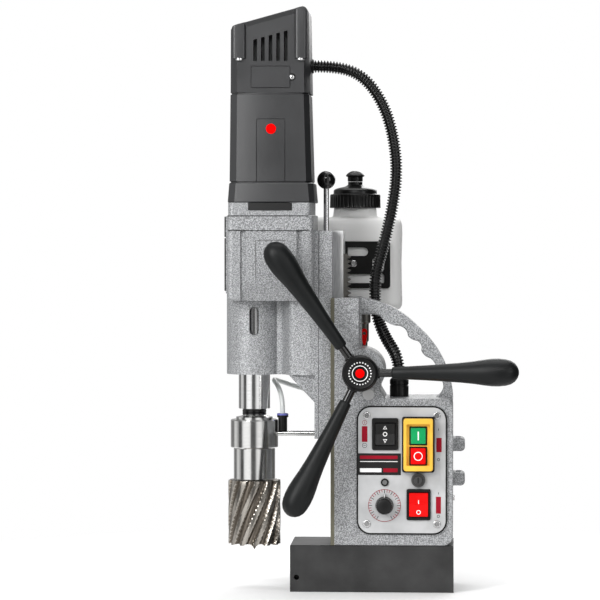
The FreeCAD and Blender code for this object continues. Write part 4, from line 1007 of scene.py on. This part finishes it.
def make_panel_prints():
    low, high = box_mm("panel_plate")
    corner, rim = 14.5, 1.7
    border = (rounded(low.x, high.x, low.z, high.z, corner, 10),
              rounded(low.x + rim, high.x - rim, low.z + rim, high.z - rim, corner - rim, 10))
    flat_print("panel_border", "print_black", [border])

    flat_print("label_field", "print_black", [rounded(low.x + 1, 30, 120.6, 143, 0.4, 2)])
    flat_print("label_red_bars", "print_red", [rounded(-12, 26.6, 137.2, 140.6, 0.4, 2)], PANEL_Y + 0.1)
    white = [rounded(-12, 26.6, 134.2, 134.9, 0.2, 2), rounded(-12, 10, 123.6, 127.6, 0.4, 2)]
    flat_print("label_white_bars", "print_white", white, PANEL_Y + 0.1)
    flat_print("label_red_end", "print_red", [rounded(12, 26.6, 123.6, 127.6, 0.4, 2)], PANEL_Y + 0.1)

    left, right = -7.2, 68.4
    fields = [around((left, 162.7), 5.8, 16.2), around((68.9, 151.7), 5.5, 14.6),
              around((right, 90), 5.2, 17.3)]
    flat_print("caption_fields", "print_red", fields)
    symbols = [ring_of((left, 151), 2.5, 2.1), bar((left, 151), 2.2, 0.4)]
    for tick, ring in ((167.6, 136.8), (102.2, 78.6)):
        symbols += [bar((right, tick), 0.6, 2.2), ring_of((right, ring), 1.5, 1.0)]
    flat_print("caption_symbols", "print_black", symbols)
    red = [ring_of((left, 174.4), 2.5, 2.1), bar((left, 174.4), 0.5, 2.4)]
    flat_print("caption_red_ring", "print_red", red)


def make_dial():
    face = front_of("speed_dial_plate")
    red, dark = [], []
    for number in range(31):
        angle = math.radians(-60 + 10 * number)
        long = number % 3 == 0
        inner, outer = (12.6 if long else 13.6), 16.2
        spot = [(math.cos(angle) * r - math.sin(angle) * w, math.sin(angle) * r + math.cos(angle) * w)
                for r, w in ((inner, -0.3), (outer, -0.3), (outer, 0.3), (inner, 0.3))]
        (dark if long else red).append([(DIAL[0] + x, DIAL[1] + z) for x, z in spot])
    flat_print("dial_long_ticks", "print_black", dark, face)
    flat_print("dial_short_ticks", "print_red", red + [ring_of(DIAL, 16.65, 16.2, 72)], face)

    knob_front = front_of("speed_knob")
    axis = facing(DIAL)
    knob, rows, ribs = Form(), [], 24
    for height, radius, depth in (
            (face + 0.5, 9.0, 0.0), (face + 0.9, 9.3, 0.1), (face + 2, 9.15, 0.5),
            (knob_front - 3, 8.3, 0.55), (knob_front - 1.4, 8.0, 0.25), (knob_front - 0.5, 7.4, 0.0),
            (knob_front, 6.4, 0.0), (knob_front, 0.6, 0.0)):
        ring = []
        for angle in turn_steps(ribs * 5):
            reach = radius - depth * max(0.0, math.cos(angle * ribs)) ** 3
            ring.append(axis @ Vector((reach * math.cos(angle), reach * math.sin(angle), height)))
        rows.append(ring)
    knob.loft(rows)
    knob.prism([(-1.1, 8.2), (1.1, 8.2), (0.5, 12.4), (-0.5, 12.4)], face + 0.6, face + 4.4, axis)
    knob.done("knob_ribbed", "switch_black", "speed_knob", ["speed_knob"])
    pointer = Form()
    pointer.prism([(-0.45, 8.6), (0.45, 8.6), (0.4, 12.6), (-0.4, 12.6)], face + 4.3, face + 4.6, axis)
    pointer.done("knob_pointer", "switch_black", "speed_knob", paint=["print_white"])


def slope_print(name, colour, body, slot, shapes, centre, half):
    """A print on the two lands of a rocker of the given half height, which slope down to its middle."""
    rise = ROCKER_RIM - ROCKER_MIDDLE

    def laid(outline):
        return [(centre[0] + x, -(ROCKER_MIDDLE + rise * (abs(z) / half)), centre[1] + z) for x, z in outline]

    form = Form()
    for shape in shapes:
        lines = [shape] if isinstance(shape[0][0], (int, float)) else list(shape)
        front = [laid(line) for line in lines]
        back = [[(x, y + 0.3, z) for x, y, z in line] for line in front]
        proud = [[(x, y - PRINT, z) for x, y, z in line] for line in front]
        if len(lines) == 1:
            form.loft([back[0], proud[0]])
        else:
            form.loft([back[0], proud[0], proud[1], back[1]], True)
    form.done(name, slot, body, paint=[colour])


def make_fuse_slot():
    flat_print("fuse_slot", "print_black", [bar(middle_of("fuse_cap"), 1.5, 6)],
               front_of("fuse_cap") - 0.1, "fuse_cap", "switch_black")


def make_indicator_rim():
    rim = Form()
    rim.lathe([(2.5, 43.6), (4.1, 43.6), (4.1, 45.2), (3.7, 45.7), (2.9, 45.7), (2.5, 45.3)],
              facing(middle_of("magnet_indicator")), 40, True)
    rim.done("indicator_rim", "indicator_black", "stand", paint=["print_black"])


def make_switch_marks():
    arrow = [(-2.1, 5.1), (2.1, 5.1), (0, 8.9)]
    arrow_hole = [(-1.2, 5.65), (1.2, 5.65), (0, 7.8)]
    down = [(-x, -z) for x, z in arrow]
    down_hole = [(-x, -z) for x, z in arrow_hole]
    slope_print("direction_marks", "print_white", "direction_rocker", "switch_black",
                [(arrow, arrow_hole), ring_of((0, 0.0), 2.3, 1.5), (down, down_hole)], DIRECTION_SWITCH, 10.9)
    slope_print("magnet_marks", "print_white", "magnet_rocker", "button_red",
                [bar((0, 2.8), 0.9, 3.8), ring_of((0, -7.6), 2.3, 1.5)], MAGNET_SWITCH, 12)
    station = STATION[0]
    flat_print("start_mark", "print_white", [bar((station, START_HEIGHT), 1.2, 9)],
               front_of("start_button"), "start_button", "button_green")
    flat_print("stop_mark", "print_white", [ring_of((station, STOP_HEIGHT), 4.6, 3.7)],
               front_of("stop_button"), "stop_button", "button_red")
    gasket = Form()
    gasket.band(around(STATION, 33.4, 57, 2.4), around(STATION, 30, 53.7, 1.8), 43.9, 49.2, FRONT)
    gasket.done("station_gasket", "gland_black", "stand", paint=["print_black"])
    wells = Form()
    for height in (START_HEIGHT, STOP_HEIGHT):
        wells.band(around((station, height), 18.2, 19.4, 1), around((station, height), 16.1, 17.3, 0.6),
                   49.6, 50.5, FRONT)
    wells.done("button_seals", "switch_black", "stand")


bpy.context.scene.view_settings.view_transform = "Standard"
make_camera()
make_lights()
make_world()
make_floor()
dress_cad()
make_conduit()
make_hose()
make_motor()
make_gearbox_painted_shade()
make_motor_cap()
make_cutter()
make_arbor_seal()
make_handle()
make_bottle()
make_panel_prints()
make_dial()
make_indicator_rim()
make_fuse_slot()
make_switch_marks()
